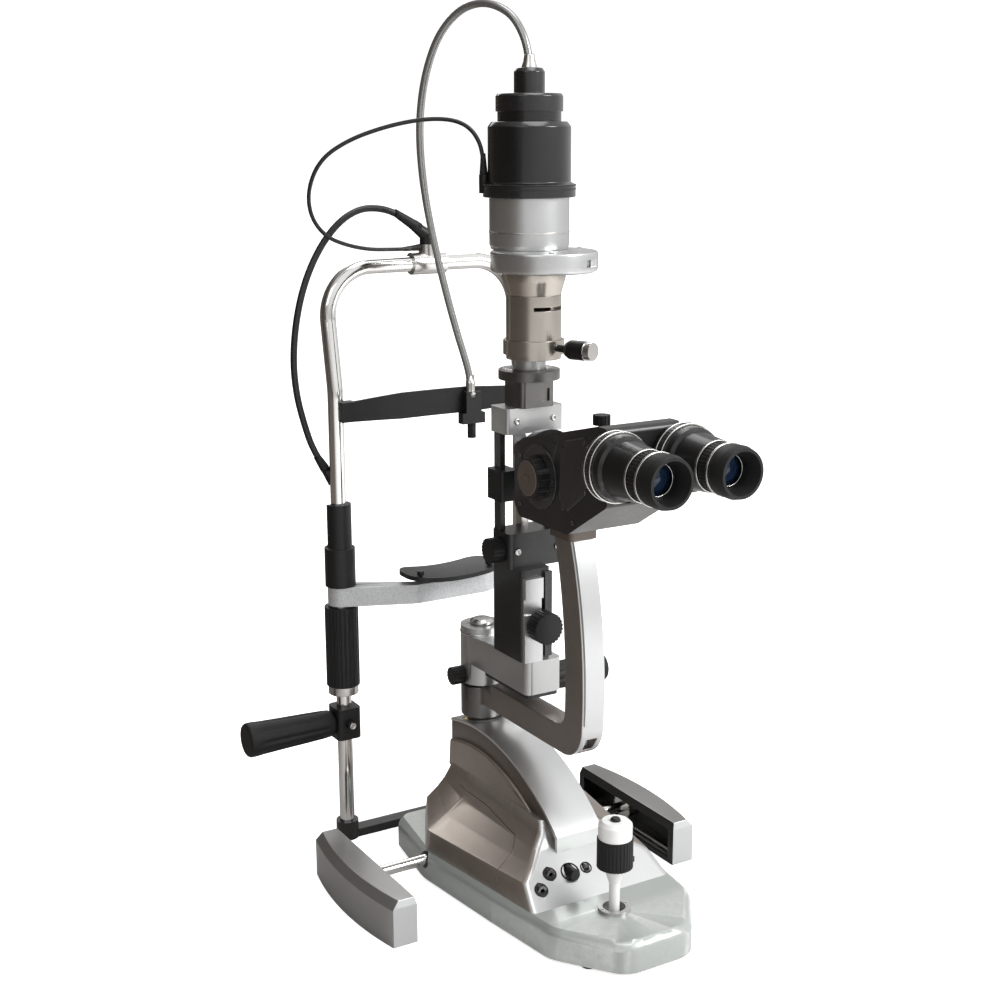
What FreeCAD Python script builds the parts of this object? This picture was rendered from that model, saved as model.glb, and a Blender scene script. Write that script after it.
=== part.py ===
import FreeCAD, Part
import math
import os

# A slit lamp (biomicroscope) with its table-mounted headrest, in millimetres, +Z up.
# The doctor sits on the -Y side and the patient on the +Y side. The origin is on the
# table, under the middle of the whole instrument.

V = FreeCAD.Vector
X_AXIS = V(1, 0, 0)
Y_AXIS = V(0, 1, 0)
Z_AXIS = V(0, 0, 1)

# Where the headrest's own centre plane lies from the origin.
FRAME_SHIFT = V(0, 123.4, 0)

# Headrest
POST_X = 96.5
POST_Y = 62.0
POST_R = 7.0
TUBE_WALL = 1.5
TOP_Z = 538.0
TOP_SET_BACK = 11.0
TOP_BEND_R = 43.0
BAND_Z = 412.0
HANDLE_Z = 118.0
CHIN_Z = 241.0

# Table rails
RAIL_X = 145.0
RAIL_INNER = 131.5
RAIL_OUTER = 163.0
RAIL_END = 154.0
RAIL_Y0 = -148.0
RAIL_Y1 = 6.0
RAIL_H = 41.0
RAIL_WALL = 3.0

# Running gear
AXLE_Y = -55.0
AXLE_Z = 20.0
AXLE_R = 5.0
WHEEL_MODULE = 1.0
WHEEL_TEETH = 25
WHEEL_W = 10.0
RUNNING_GAP = 0.05

# Instrument base
BASE_X = 15.0
PLATE_Y0 = -286.0
PLATE_Y1 = 22.0
PLATE_Z0 = 3.0
PLATE_TOP = 29.0
JOY_X = BASE_X - 7.0
JOY_Y = -231.0
SADDLE_HALF = 22.0
HUMP_FRONT_Y = -204.0
HUMP_FRONT_SLOPE = 1.3
# The housing's level sections: height, then half width and y of its front, middle and rear corners
HUMP_SECTIONS = ((29, 69, -204, 88, -52, 52, 16), (45, 63, -183, 84, -50, 50, 16),
                 (53, 51, -172.8, 62, -44, 40, 16), (61, 41, -162.4, 42, -38, 33, 16),
                 (70, 31, -155, 29.5, -30, 28, 16), (78, 26, -146, 25, -26, 24.5, 16))
# Distance from the base's middle, height and radius: two sockets, the knob, the indicator
FRONT_HOLES = ((-52, 40, 4.2), (-38, 47, 4.2), (-19, 45, 5.2), (-3, 45, 3.2))

# Pivot that both arms swing about
PIVOT_Y = -4.0
PIVOT_R = 8.0
LIFT_R = 13.0
HUB_R = 20.0
SCOPE_HUB_Z = (126.0, 156.5)
SCOPE_ARM_Z = (141.0, 165.0)
LAMP_HUB_Z = (158.5, 213.0)

# Illumination tower
LAMP_Y = -86.0
COLUMN_Y = -93.0
BAR_X = 25.0
BAR_Z = (322.0, 407.0)
DIAL_Y = -109.0
DIAL_R = 44.0

# Microscope
SCOPE_Z = 384.0
SCOPE_HALF = 34.0
PUPIL_HALF = 32.0
EYE_Z = 411.0
DRUM_Y = -156.0

# Cord routes
CONDUIT = [(15, -86, 700), (15.4, -85.4, 718), (9.5, -74, 743.5), (0, -58, 754.5), (-8, -42, 756.5),
           (-16.5, -26, 751), (-25.5, -10, 734), (-29, 5, 709.5), (-29, 18, 681), (-25, 30, 648),
           (-17, 38, 605.5), (-5, 44, 561.5), (8, 48, 519), (20.5, 50, 479), (31.5, 51, 448),
           (36, 51, 430.5), (36, 51, 413)]
POWER_FEED = [(-14.8, 73, 576.2), (-28, 73, 584.5), (-46, 74, 589), (-64, 74, 588), (-84, 74, 577),
              (-103, 75, 554), (-118, 75, 524), (-127, 75, 490), (-130, 76, 455), (-127, 77, 425),
              (-120, 78.5, 399), (-112.6, 78.7, 375.7), (-105.5, 73.2, 361.2)]
LAMP_LEAD = [(-4.2, 72.5, 552.5), (-18, 71.5, 551.5), (-36, 69, 552), (-58, 66, 553), (-82, 61, 558),
             (-105, 54, 566.5), (-122, 46, 584), (-128, 37, 607), (-121, 26, 632), (-101, 12, 648),
             (-74, -6, 659), (-50, -23, 664.5), (-32, -38, 664.5), (-22, -50, 659), (-17.5, -60, 648),
             (-17.2, -66.6, 634), (-16.8, -67.1, 621)]

nodes = {}


def box(x0, x1, y0, y1, z0, z1):
    return Part.makeBox(x1 - x0, y1 - y0, z1 - z0, V(x0, y0, z0))


def rod(centre, axis, radius, length):
    return Part.makeCylinder(radius, length, V(*centre), axis)


def ring(centre, axis, outer, inner, length):
    return rod(centre, axis, outer, length).cut(rod(centre, axis, inner, length))


def cone(centre, axis, r0, r1, length):
    return Part.makeCone(r0, r1, length, V(*centre), axis)


def turned(centre, axis, profile):
    """A solid of revolution from (height, radius) pairs along an axis."""
    points = [V(0, 0, profile[0][0])]
    points += [V(r, 0, h) for h, r in profile]
    points += [V(0, 0, profile[-1][0])]
    face = Part.Face(Part.makePolygon(points + points[:1]))
    solid = face.revolve(V(0, 0, 0), Z_AXIS, 360)
    solid.Placement = FreeCAD.Placement(V(*centre), FreeCAD.Rotation(Z_AXIS, axis))
    return solid


def fuse(*solids):
    return solids[0].fuse(list(solids[1:])).removeSplitter()


def group(*solids):
    return Part.makeCompound(list(solids))


def rounded_rectangle(x0, x1, y0, y1, radius, z):
    """A closed wire in a level plane with round corners."""
    corners = [(x1 - radius, y0 + radius, -90), (x1 - radius, y1 - radius, 0),
               (x0 + radius, y1 - radius, 90), (x0 + radius, y0 + radius, 180)]
    edges = []
    ends = []
    for cx, cy, start in corners:
        arc = [V(cx + radius * math.cos(math.radians(start + a)),
                 cy + radius * math.sin(math.radians(start + a)), z) for a in (0, 45, 90)]
        ends.append(arc)
    for i, arc in enumerate(ends):
        edges.append(Part.Arc(*arc).toShape())
        edges.append(Part.makeLine(arc[2], ends[(i + 1) % 4][0]))
    return Part.Wire(edges)


def rounded_box(x0, x1, y0, y1, z0, z1, radius):
    face = Part.Face(rounded_rectangle(x0, x1, y0, y1, radius, z0))
    return face.extrude(V(0, 0, z1 - z0))


def closed_outline(points, radii, z):
    """A level closed wire with rounded corners, one radius for each corner."""
    corners = [V(x, y, z) for x, y in points]
    start = (corners[-1] + corners[0]) * 0.5
    return tangent_path([start] + corners + [start], radii)


def side_plate(points, x0, x1):
    """A solid with a side outline of (y, z) points, between two x planes."""
    wire = Part.makePolygon([V(x0, y, z) for y, z in points + points[:1]])
    return Part.Face(wire).extrude(V(x1 - x0, 0, 0))


def tangent_path(points, radii):
    """Straight runs joined by tangent arcs, one radius for each inner point."""
    edges = []
    last = points[0]
    for before, corner, after, radius in zip(points, points[1:], points[2:], radii):
        inward = (corner - before).normalize()
        outward = (after - corner).normalize()
        turn = inward.getAngle(outward)
        trim = radius * math.tan(turn / 2)
        start = corner - inward * trim
        end = corner + outward * trim
        centre = corner + (outward - inward).normalize() * (radius / math.cos(turn / 2))
        middle = centre + (corner - centre).normalize() * radius
        edges.append(Part.LineSegment(last, start).toShape())
        edges.append(Part.Arc(start, middle, end).toShape())
        last = end
    edges.append(Part.LineSegment(last, points[-1]).toShape())
    return Part.Wire(edges)


def sweep_circle(path, radius):
    first = path.Edges[0]
    start = first.Vertexes[0].Point
    along = first.tangentAt(first.FirstParameter)
    profile = Part.Wire(Part.Circle(start, along, radius).toShape())
    return path.makePipeShell([profile], True, False)


def cord_tube(points, diameter, name):
    """A cord's tube: each arc is as large as its two runs allow."""
    points = [V(*p) for p in points]
    radii = []
    for before, corner, after in zip(points, points[1:], points[2:]):
        turn = (corner - before).getAngle(after - corner)
        shorter = min((corner - before).Length, (after - corner).Length)
        radii.append(0.45 * shorter / math.tan(turn / 2))
    path = tangent_path(points, radii)
    tube = sweep_circle(path, diameter / 2)
    expected = math.pi * diameter ** 2 / 4 * path.Length
    print(name, "length", round(path.Length, 1), "radii", [round(r) for r in radii],
          "volume ratio", round(tube.Volume / expected, 4))
    return tube


def knurled(centre, axis, radius, length, grooves, depth=0.6):
    """A grip with grooves along its axis."""
    body = Part.makeCylinder(radius, length)
    cuts = []
    for i in range(grooves):
        angle = 2 * math.pi * i / grooves
        cuts.append(Part.makeCylinder(depth, length, V(radius * math.cos(angle),
                                                       radius * math.sin(angle), 0)))
    body = body.cut(cuts)
    body.Placement = FreeCAD.Placement(V(*centre), FreeCAD.Rotation(Z_AXIS, axis))
    return body


# ---------------------------------------------------------------- headrest


def make_frame_tube():
    """The chrome tube of the headrest: two posts and the bend over the top."""
    back = POST_Y + TOP_SET_BACK
    points = [V(-POST_X, POST_Y, 4), V(-POST_X, POST_Y, 430), V(-POST_X, back, 492),
              V(-POST_X, back, TOP_Z), V(POST_X, back, TOP_Z), V(POST_X, back, 492),
              V(POST_X, POST_Y, 430), V(POST_X, POST_Y, 4)]
    radii = [80, 28, TOP_BEND_R, TOP_BEND_R, 28, 80]
    path = tangent_path(points, radii)
    nodes["frame_tube"] = sweep_circle(path, POST_R).cut(sweep_circle(path, POST_R - TUBE_WALL))


def make_frame_foot():
    """The cross bar on the table with a split socket for each post."""
    socket_r = 10.5
    bar = rounded_box(-POST_X, POST_X, POST_Y - 7, POST_Y + 7, 0, 8, 6)
    bar = bar.cut([rod((s * POST_X, POST_Y, -1), Z_AXIS, socket_r, 20) for s in (-1, 1)])
    nodes["cross_bar"] = bar
    sockets = []
    screws = []
    for side in (-1, 1):
        x = side * POST_X
        socket = rod((x, POST_Y, 0), Z_AXIS, socket_r, 18)
        socket = socket.cut(rod((x, POST_Y, 4), Z_AXIS, POST_R, 20))
        socket = socket.cut(rod((x, POST_Y + 5, 11), Y_AXIS, 2.5, 12))
        sockets.append(socket)
        screws.append(rod((x, POST_Y + POST_R, 11), Y_AXIS, 2.5, socket_r - POST_R + 1))
    nodes["post_sockets"] = group(*sockets)
    nodes["socket_screws"] = group(*screws)


def make_forehead_band():
    """A curved strap between the posts, on two sliding brackets."""
    reach = 6.0
    top = BAND_Z + 9
    low = BAND_Z - 9
    span = POST_X - 13
    outer = [V(-span, POST_Y - 10, low), V(0, POST_Y - 10 + reach, low), V(span, POST_Y - 10, low)]
    inner = [V(p.x, p.y - 3, p.z) for p in outer]
    wire = Part.Wire([Part.Arc(*outer).toShape(), Part.makeLine(outer[2], inner[2]),
                      Part.Arc(inner[2], inner[1], inner[0]).toShape(),
                      Part.makeLine(inner[0], outer[0])])
    strap = Part.Face(wire).extrude(V(0, 0, 40))
    strap.translate(V(0, 0, -10))
    front = [V(-90, 0, low), V(-34, 0, low - 3), V(34, 0, low - 3), V(90, 0, low),
             V(90, 0, top), V(34, 0, top + 3), V(-34, 0, top + 3), V(-90, 0, top)]
    shape = Part.Face(Part.makePolygon(front + front[:1])).extrude(V(0, 120, 0))
    nodes["forehead_band"] = strap.common(shape)
    brackets = []
    for side in (-1, 1):
        x = side * POST_X
        block = box(min(x, x - side * 14), max(x, x - side * 14), POST_Y - 14, POST_Y - 2, low, top)
        brackets.append(block.cut([rod((x, POST_Y, low - 1), Z_AXIS, POST_R, 30), nodes["forehead_band"]]))
    nodes["band_brackets"] = group(*brackets)


def make_handles():
    """A clamp and a grip for each of the patient's hands."""
    clamps = []
    grips = []
    screws = []
    for side in (-1, 1):
        x = side * POST_X
        clamp = rounded_box(x - 12, x + 12, POST_Y - 13, POST_Y + 12, HANDLE_Z - 15, HANDLE_Z + 15, 5)
        clamp = clamp.cut(rod((x, POST_Y, HANDLE_Z - 20), Z_AXIS, POST_R, 40))
        clamps.append(clamp)
        outward = V(side, 0, 0)
        grips.append(turned((x + side * 12, POST_Y, HANDLE_Z), outward,
                            [(0, 9), (4, 12.5), (58, 14.5), (82, 16), (86, 13)]))
        screws.append(rod((x, POST_Y - 18, HANDLE_Z), Y_AXIS, 4.5, 5))
    nodes["handle_clamps"] = group(*clamps)
    nodes["handle_grips"] = group(*grips)
    nodes["handle_screws"] = group(*screws)


def make_chin_rest():
    """Chin cup, its bar and the sleeves that slide on the two posts."""
    z0 = CHIN_Z - 9
    z1 = CHIN_Z + 9
    slide_r = POST_R + RUNNING_GAP
    y = POST_Y
    plan = [(-POST_X - 6, y - 10), (-36, y - 37), (36, y - 37), (POST_X + 6, y - 10), (POST_X - 4, y + 11),
            (34, y - 25), (-34, y - 25), (-POST_X + 4, y + 11)]
    bar = Part.Face(closed_outline(plan, [2, 14, 14, 2, 2, 12, 12, 2], z0)).extrude(V(0, 0, z1 - z0))
    bar = fuse(bar, *[rod((s * POST_X, y, z0), Z_AXIS, 12, z1 - z0) for s in (-1, 1)])
    bar = bar.cut([rod((s * POST_X, y, z0 - 1), Z_AXIS, slide_r, 30) for s in (-1, 1)])
    nodes["chin_bar"] = bar
    sleeve = turned((-POST_X, y, z1), Z_AXIS, [(0, 14), (36, 14), (37, 11.5), (77, 11.5)])
    cable_room = box(-POST_X - 14, -POST_X + 5, y + 1, y + 16, z1 + 38, z1 + 80)
    nodes["chin_sleeve"] = sleeve.cut([rod((-POST_X, y, z1 - 1), Z_AXIS, slide_r, 90), cable_room])
    cup_y = y - 31
    bowl_r = 230.0
    ball_z = z1 + 2.5 + bowl_r
    dish = Part.makeSphere(bowl_r, V(0, cup_y, ball_z)).cut(Part.makeSphere(bowl_r - 4, V(0, cup_y, ball_z)))
    plate = Part.Face(rounded_rectangle(-47, 47, cup_y - 23, cup_y + 23, 18, z1)).extrude(V(0, 0, 30))
    nodes["chin_cup"] = fuse(dish.common(plate), rod((0, cup_y, z1), Z_AXIS, 5, 4))
    pins = []
    for side in (-1, 1):
        pin = turned((side * 36, cup_y - 12, z1 + 5), Z_AXIS, [(-4, 1.5), (6, 1.5), (6, 3.2), (10, 3.2)])
        pins.append(max(pin.cut(nodes["chin_cup"]).Solids, key=lambda s: s.CenterOfMass.z))
    nodes["paper_pins"] = group(*pins)
    spindle_r = POST_R + 2.6
    low = z0 - 78
    spindle = ring((-POST_X, y, low), Z_AXIS, spindle_r, POST_R, 76)
    nodes["chin_spindle"] = fuse(spindle, ring((-POST_X, y, low - 8), Z_AXIS, 14, POST_R, 8))
    knob = knurled((-POST_X, y, low + 0.4), Z_AXIS, 15.5, 76, 24, 0.9)
    nodes["chin_height_knob"] = knob.cut(rod((-POST_X, y, low), Z_AXIS, spindle_r + RUNNING_GAP, 90))


def make_fixation_clamp():
    """The clamp on the band that holds the flexible conduit."""
    x = 37.0
    y = POST_Y - 6.0
    block = fuse(box(x - 8, x + 8, y - 10, y + 2, BAND_Z - 22, BAND_Z + 8),
                 box(x - 12, x + 12, y - 10, y - 1, BAND_Z - 22, BAND_Z - 12))
    block = block.cut([nodes["forehead_band"], rod((x - 1, y - 5, BAND_Z - 6), Z_AXIS, 3.6, 40)])
    nodes["conduit_clamp"] = sorted(block.Solids, key=lambda s: -s.Volume)[0]
    nodes["conduit_clamp_screw"] = knurled((x, y - 5, BAND_Z - 36), Z_AXIS, 4, 14, 12)


def make_top_tee():
    """The cable fitting on the top tube."""
    y = POST_Y + TOP_SET_BACK
    x = 4.0
    body = rod((x - 17, y, TOP_Z), X_AXIS, POST_R + 3, 34)
    stub = rod((x, y, TOP_Z), Z_AXIS, 7.5, 17)
    tee = fuse(body, stub).cut(rod((x - 30, y, TOP_Z), X_AXIS, POST_R, 60))
    nodes["top_tee"] = tee
    plug = fuse(rod((x, y, TOP_Z + 17), Z_AXIS, 6.5, 9), Part.makeSphere(6.5, V(x, y, TOP_Z + 25)),
                cone((x, y, TOP_Z + 25), V(-0.82, 0, 0.57), 6.2, 3.8, 22))
    nodes["angled_plug"] = plug
    gland = cone((-POST_X - 1.5, POST_Y + 5, 346), V(-0.42, 0.34, 0.84), 5.5, 3.8, 17)
    nodes["post_gland"] = gland.cut(rod((-POST_X, POST_Y, 300), Z_AXIS, POST_R, 90))


# ---------------------------------------------------------------- rails and running gear


def rack_tooth_line(y0, count, pitch):
    """The toothed top line of a rack, with a gap centred on y0."""
    root = AXLE_Z - WHEEL_MODULE * WHEEL_TEETH / 2 - 1.3
    tip = root + 2.1
    points = []
    for i in range(count):
        centre = y0 + (i + 0.5) * pitch
        points += [(centre - 1.0, root), (centre - 0.4, tip), (centre + 0.4, tip), (centre + 1.0, root)]
    return points


def make_rails():
    """A toothed rack under each wheel and the cover over it."""
    pitch = math.pi * WHEEL_MODULE
    first = AXLE_Y - 28 * pitch
    teeth = rack_tooth_line(first, 44, pitch)
    outline = [(first, 0)] + [(first, teeth[0][1])] + teeth
    outline += [(teeth[-1][0] + 1, teeth[-1][1]), (teeth[-1][0] + 1, 0)]
    racks = [side_plate(outline, s * RAIL_X - 6, s * RAIL_X + 6) for s in (-1, 1)]
    nodes["gear_racks"] = group(*racks)
    for side, name in ((-1, "rail_cover_left"), (1, "rail_cover_right")):
        low = rail_outline(side, 0, 0)
        shoulder = rail_outline(side, 0, RAIL_H - 7)
        crown = rail_outline(side, 6, RAIL_H)
        wall = Part.Face(low).extrude(V(0, 0, RAIL_H - 7))
        cover = fuse(wall, Part.makeLoft([shoulder, crown], True, True))
        x0, x1 = sorted((side * (RAIL_INNER + RAIL_WALL), side * (RAIL_X + 6)))
        hollow = box(x0, x1, RAIL_Y0 + RAIL_WALL, RAIL_Y1 - RAIL_WALL, -1, AXLE_Z + 15.5)
        x0, x1 = sorted((side * (RAIL_INNER - 4), side * (RAIL_INNER + 4)))
        mouth = box(x0, x1, RAIL_Y0 + 8, RAIL_Y1 - 8, 5, AXLE_Z + 13)
        nodes[name] = cover.cut(hollow).cut(mouth)


def rail_outline(side, inset, z):
    """A rail cover's plan: straight inside, bowed outside."""
    inner = side * (RAIL_INNER + inset / 3)
    end = side * (RAIL_END - inset)
    middle = V(side * (RAIL_OUTER - inset), (RAIL_Y0 + RAIL_Y1) / 2, z)
    a, b = V(end, RAIL_Y1 - inset / 3, z), V(end, RAIL_Y0 + inset / 3, z)
    c, d = V(inner, RAIL_Y0 + inset / 3, z), V(inner, RAIL_Y1 - inset / 3, z)
    return Part.Wire([Part.Arc(a, middle, b).toShape(), Part.makeLine(b, c), Part.makeLine(c, d),
                      Part.makeLine(d, a)])


def make_wheel(x):
    """A toothed track wheel with a tooth pointing straight down at rest."""
    root = WHEEL_MODULE * WHEEL_TEETH / 2 - 1.2
    blank = rod((x - WHEEL_W / 2, AXLE_Y, AXLE_Z), X_AXIS, root, WHEEL_W)
    flank = -root + 0.4
    tip = -root - 2.0
    tooth = side_plate([(-0.95, flank), (-0.35, tip), (0.35, tip), (0.95, flank)],
                       x - WHEEL_W / 2, x + WHEEL_W / 2)
    teeth = []
    for i in range(WHEEL_TEETH):
        one = tooth.copy()
        one.rotate(V(0, 0, 0), X_AXIS, 360.0 * i / WHEEL_TEETH)
        one.translate(V(0, AXLE_Y, AXLE_Z))
        teeth.append(one)
    wheel = blank.fuse(teeth)
    return wheel.cut(rod((x - 20, AXLE_Y, AXLE_Z), X_AXIS, AXLE_R + RUNNING_GAP, 40))


def make_running_gear():
    """The axle, its end wheels and the bushes that the base slides on."""
    half = RAIL_X + 5.5
    nodes["axle_rod"] = rod((-half, AXLE_Y, AXLE_Z), X_AXIS, AXLE_R, 2 * half)
    nodes["track_wheel_left"] = make_wheel(-RAIL_X)
    nodes["track_wheel_right"] = make_wheel(RAIL_X)
    bushes = []
    for x in (BASE_X - 80, BASE_X + 66):
        bushes.append(ring((x, AXLE_Y, AXLE_Z), X_AXIS, 7.5, AXLE_R + RUNNING_GAP, 14))
    nodes["axle_bushes"] = group(*bushes)


# ---------------------------------------------------------------- base


def plate_outline(inset, z):
    """The foot plate's plan: widest at the middle, narrower to the rounded front."""
    half = [(32, PLATE_Y0), (71, -232), (81, -156), (92, -55), (80, PLATE_Y1)]
    left = [(BASE_X - dx + inset, y + (inset if y < -250 else 0)) for dx, y in half]
    right = [(BASE_X + dx - inset, y + (inset if y < -250 else 0)) for dx, y in reversed(half)]
    return closed_outline(left + right, [26, 30, 60, 60, 10, 10, 60, 60, 30, 26], z)


def make_base_plate():
    """The flat foot plate with a bevelled skirt and a rounded front."""
    skirt = Part.Face(plate_outline(0, PLATE_Z0)).extrude(V(0, 0, PLATE_TOP - 7 - PLATE_Z0))
    shoulder = plate_outline(0, PLATE_TOP - 7)
    bevel = plate_outline(2, PLATE_TOP - 3)
    rim = plate_outline(6, PLATE_TOP)
    lofts = [Part.makeLoft(pair, True, True) for pair in ([shoulder, bevel], [bevel, rim])]
    plate = fuse(skirt, *lofts)
    tunnel = rod((BASE_X - 100, AXLE_Y, AXLE_Z), X_AXIS, 7.5, 200)
    ball_seat = rod((JOY_X, JOY_Y, PLATE_Z0 - 1), Z_AXIS, 12, 40)
    nodes["base_plate"] = plate.cut([tunnel, ball_seat])
    feet = [turned((BASE_X + s * 46, -252, 0), Z_AXIS, [(0, 6), (1, 7), (PLATE_Z0, 7)]) for s in (-1, 1)]
    nodes["glide_feet"] = group(*feet)


def saddle_outline(lift):
    """The saddle's side: a curved back falling to the front lip."""
    return [V(0, 16, 115 + lift), V(0, -112, 105 + lift), V(0, -165 - lift, 69 + lift / 2)]


def make_saddle():
    """The saddle over the hump: dark side core and a bright cover."""
    x0 = BASE_X - SADDLE_HALF
    a, b, c = saddle_outline(0)
    curve = Part.Arc(a, b, c).toShape()
    foot = [c, V(0, -165, 56), V(0, -140, 66), V(0, 16, 66), a]
    wire = Part.Wire([curve] + [Part.makeLine(p, q) for p, q in zip(foot, foot[1:])])
    core = Part.Face(wire).extrude(V(2 * SADDLE_HALF, 0, 0))
    core.translate(V(x0, 0, 0))
    guide_bore = rod((BASE_X, PIVOT_Y, 60), Z_AXIS, 18, 90)
    nodes["saddle_core"] = core.cut(guide_bore)
    a2, b2, c2 = saddle_outline(3)
    outer = Part.Arc(a2, b2, c2).toShape()
    inner = Part.Arc(c, b, a).toShape()
    tail = [c2, V(0, -168, 56), V(0, -165, 56), c]
    cover_wire = Part.Wire([outer] + [Part.makeLine(p, q) for p, q in zip(tail, tail[1:])]
                           + [inner, Part.makeLine(a, a2)])
    cover = Part.Face(cover_wire).extrude(V(2 * SADDLE_HALF + 2, 0, 0))
    cover.translate(V(x0 - 1, 0, 0))
    nodes["saddle_cover"] = cover.cut(guide_bore)


def hump_front(z):
    """Where the housing's sloping front face lies at a height."""
    return HUMP_FRONT_Y + (z - PLATE_TOP) * HUMP_FRONT_SLOPE


def hump_outline(inset, z, front, front_y, middle, middle_y, rear, rear_y):
    """One level section of the housing, mirrored about the base's middle."""
    half = [(front, front_y + inset), (middle, middle_y), (rear, rear_y - inset)]
    left = [(BASE_X - dx + inset, y) for dx, y in half]
    right = [(BASE_X + dx - inset, y) for dx, y in reversed(half)]
    return closed_outline(left + right, [6, 14, 8, 8, 14, 6], z)


def make_hump():
    """The sloping housing that stands on the plate, hollow inside."""
    outer = Part.makeLoft([hump_outline(0, *section) for section in HUMP_SECTIONS], True, True)
    inner = Part.makeLoft([hump_outline(5, *section) for section in HUMP_SECTIONS[:-1]], True, True)
    inner.translate(V(0, 0, -1))
    shell = outer.cut(inner)
    saddle_room = nodes["saddle_core"].fuse(nodes["saddle_cover"])
    shell = shell.cut([saddle_room, rod((BASE_X, PIVOT_Y, PLATE_TOP - 1), Z_AXIS, 18, 100)])
    shell = sorted(shell.Solids, key=lambda s: -s.Volume)[0]
    for dx, z, radius in FRONT_HOLES:
        shell = shell.cut(rod((BASE_X + dx, hump_front(z) - 12, z), Y_AXIS, radius, 40))
    nodes["hump_housing"] = shell
    nodes["lift_guide"] = ring((BASE_X, PIVOT_Y, PLATE_TOP), Z_AXIS, 17.9, LIFT_R + RUNNING_GAP, 89)


def make_front_controls():
    """Brightness knob, sockets and indicator on the housing's front."""
    jacks = []
    for dx, z, radius in FRONT_HOLES[:2]:
        jacks.append(ring((BASE_X + dx, hump_front(z) - 2, z), Y_AXIS, radius, 2, 14))
    nodes["front_jacks"] = group(*jacks)
    dx, z, radius = FRONT_HOLES[2]
    nodes["brightness_knob"] = knurled((BASE_X + dx, hump_front(z) - 8, z), Y_AXIS, radius - 0.3, 20, 14)
    dx, z, radius = FRONT_HOLES[3]
    nodes["power_indicator"] = turned((BASE_X + dx, hump_front(z) + 8, z), V(0, -1, 0),
                                      [(0, radius), (8, radius), (9, radius - 1)])


def make_joystick():
    """The control stick on its gimbal, with a turning grip and a top button."""
    x = JOY_X
    z = 19.0
    nodes["joystick_gimbal"] = ring((x, JOY_Y, z - 2), Z_AXIS, 9.6, 8.4, 4)
    ball = Part.makeSphere(8, V(x, JOY_Y, z)).cut(box(x - 9, x + 9, JOY_Y - 9, JOY_Y + 9, 0, z - 5))
    stem = turned((x, JOY_Y, z), Z_AXIS, [(5, 4.5), (34, 4.5), (46, 8.5), (49, 8.5), (49, 5), (86, 5)])
    stem = stem.cut(rod((x, JOY_Y, z + 78), Z_AXIS, 3, 20))
    nodes["joystick_stem"] = fuse(ball, stem)
    collar = ring((x, JOY_Y, PLATE_TOP), Z_AXIS, 13.5, 9.5, 3)
    dots = [rod((x + s * 11.5, JOY_Y, PLATE_TOP + 2), Z_AXIS, 1, 3) for s in (-1, 1)]
    nodes["joystick_collar"] = collar.cut(dots)
    grip = knurled((x, JOY_Y, z + 49.3), Z_AXIS, 15, 25, 30, 0.5)
    tab = rounded_box(x + 13, x + 19, JOY_Y - 2.5, JOY_Y + 2.5, z + 49.3, z + 53, 2)
    nodes["joystick_grip"] = fuse(grip, tab).cut(rod((x, JOY_Y, z), Z_AXIS, 5 + RUNNING_GAP, 100))
    cap = turned((x, JOY_Y, z + 74.6), Z_AXIS, [(0, 14), (12, 14), (15, 11)])
    cap = cap.cut(rod((x, JOY_Y, z + 70), Z_AXIS, 5 + RUNNING_GAP, 18.6))
    nodes["joystick_cap"] = cap.cut(rod((x, JOY_Y, z + 80), Z_AXIS, 4.4, 20))
    nodes["joystick_button"] = turned((x, JOY_Y, z + 81), Z_AXIS,
                                      [(0, 2.5), (8, 2.5), (8, 4), (10, 4), (11, 3)])


# ---------------------------------------------------------------- pivot and arms


def make_lift():
    """The rising column and the pivot post that carries both arms."""
    x = BASE_X
    nodes["lift_column"] = fuse(rod((x, PIVOT_Y, 33), Z_AXIS, LIFT_R, 90),
                                rod((x, PIVOT_Y, 121), Z_AXIS, 15.5, 4.7))
    nodes["pivot_post"] = rod((x, PIVOT_Y, 125.7), Z_AXIS, PIVOT_R, 88.3)
    spacer_z = SCOPE_HUB_Z[1] + 0.3
    nodes["hub_spacer"] = ring((x, PIVOT_Y, spacer_z), Z_AXIS, 14.5, PIVOT_R, LAMP_HUB_Z[0] - 0.3 - spacer_z)
    nodes["pivot_cap"] = turned((x, PIVOT_Y, 214), Z_AXIS, [(0, 11), (2, 11), (4, 8)])


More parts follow.
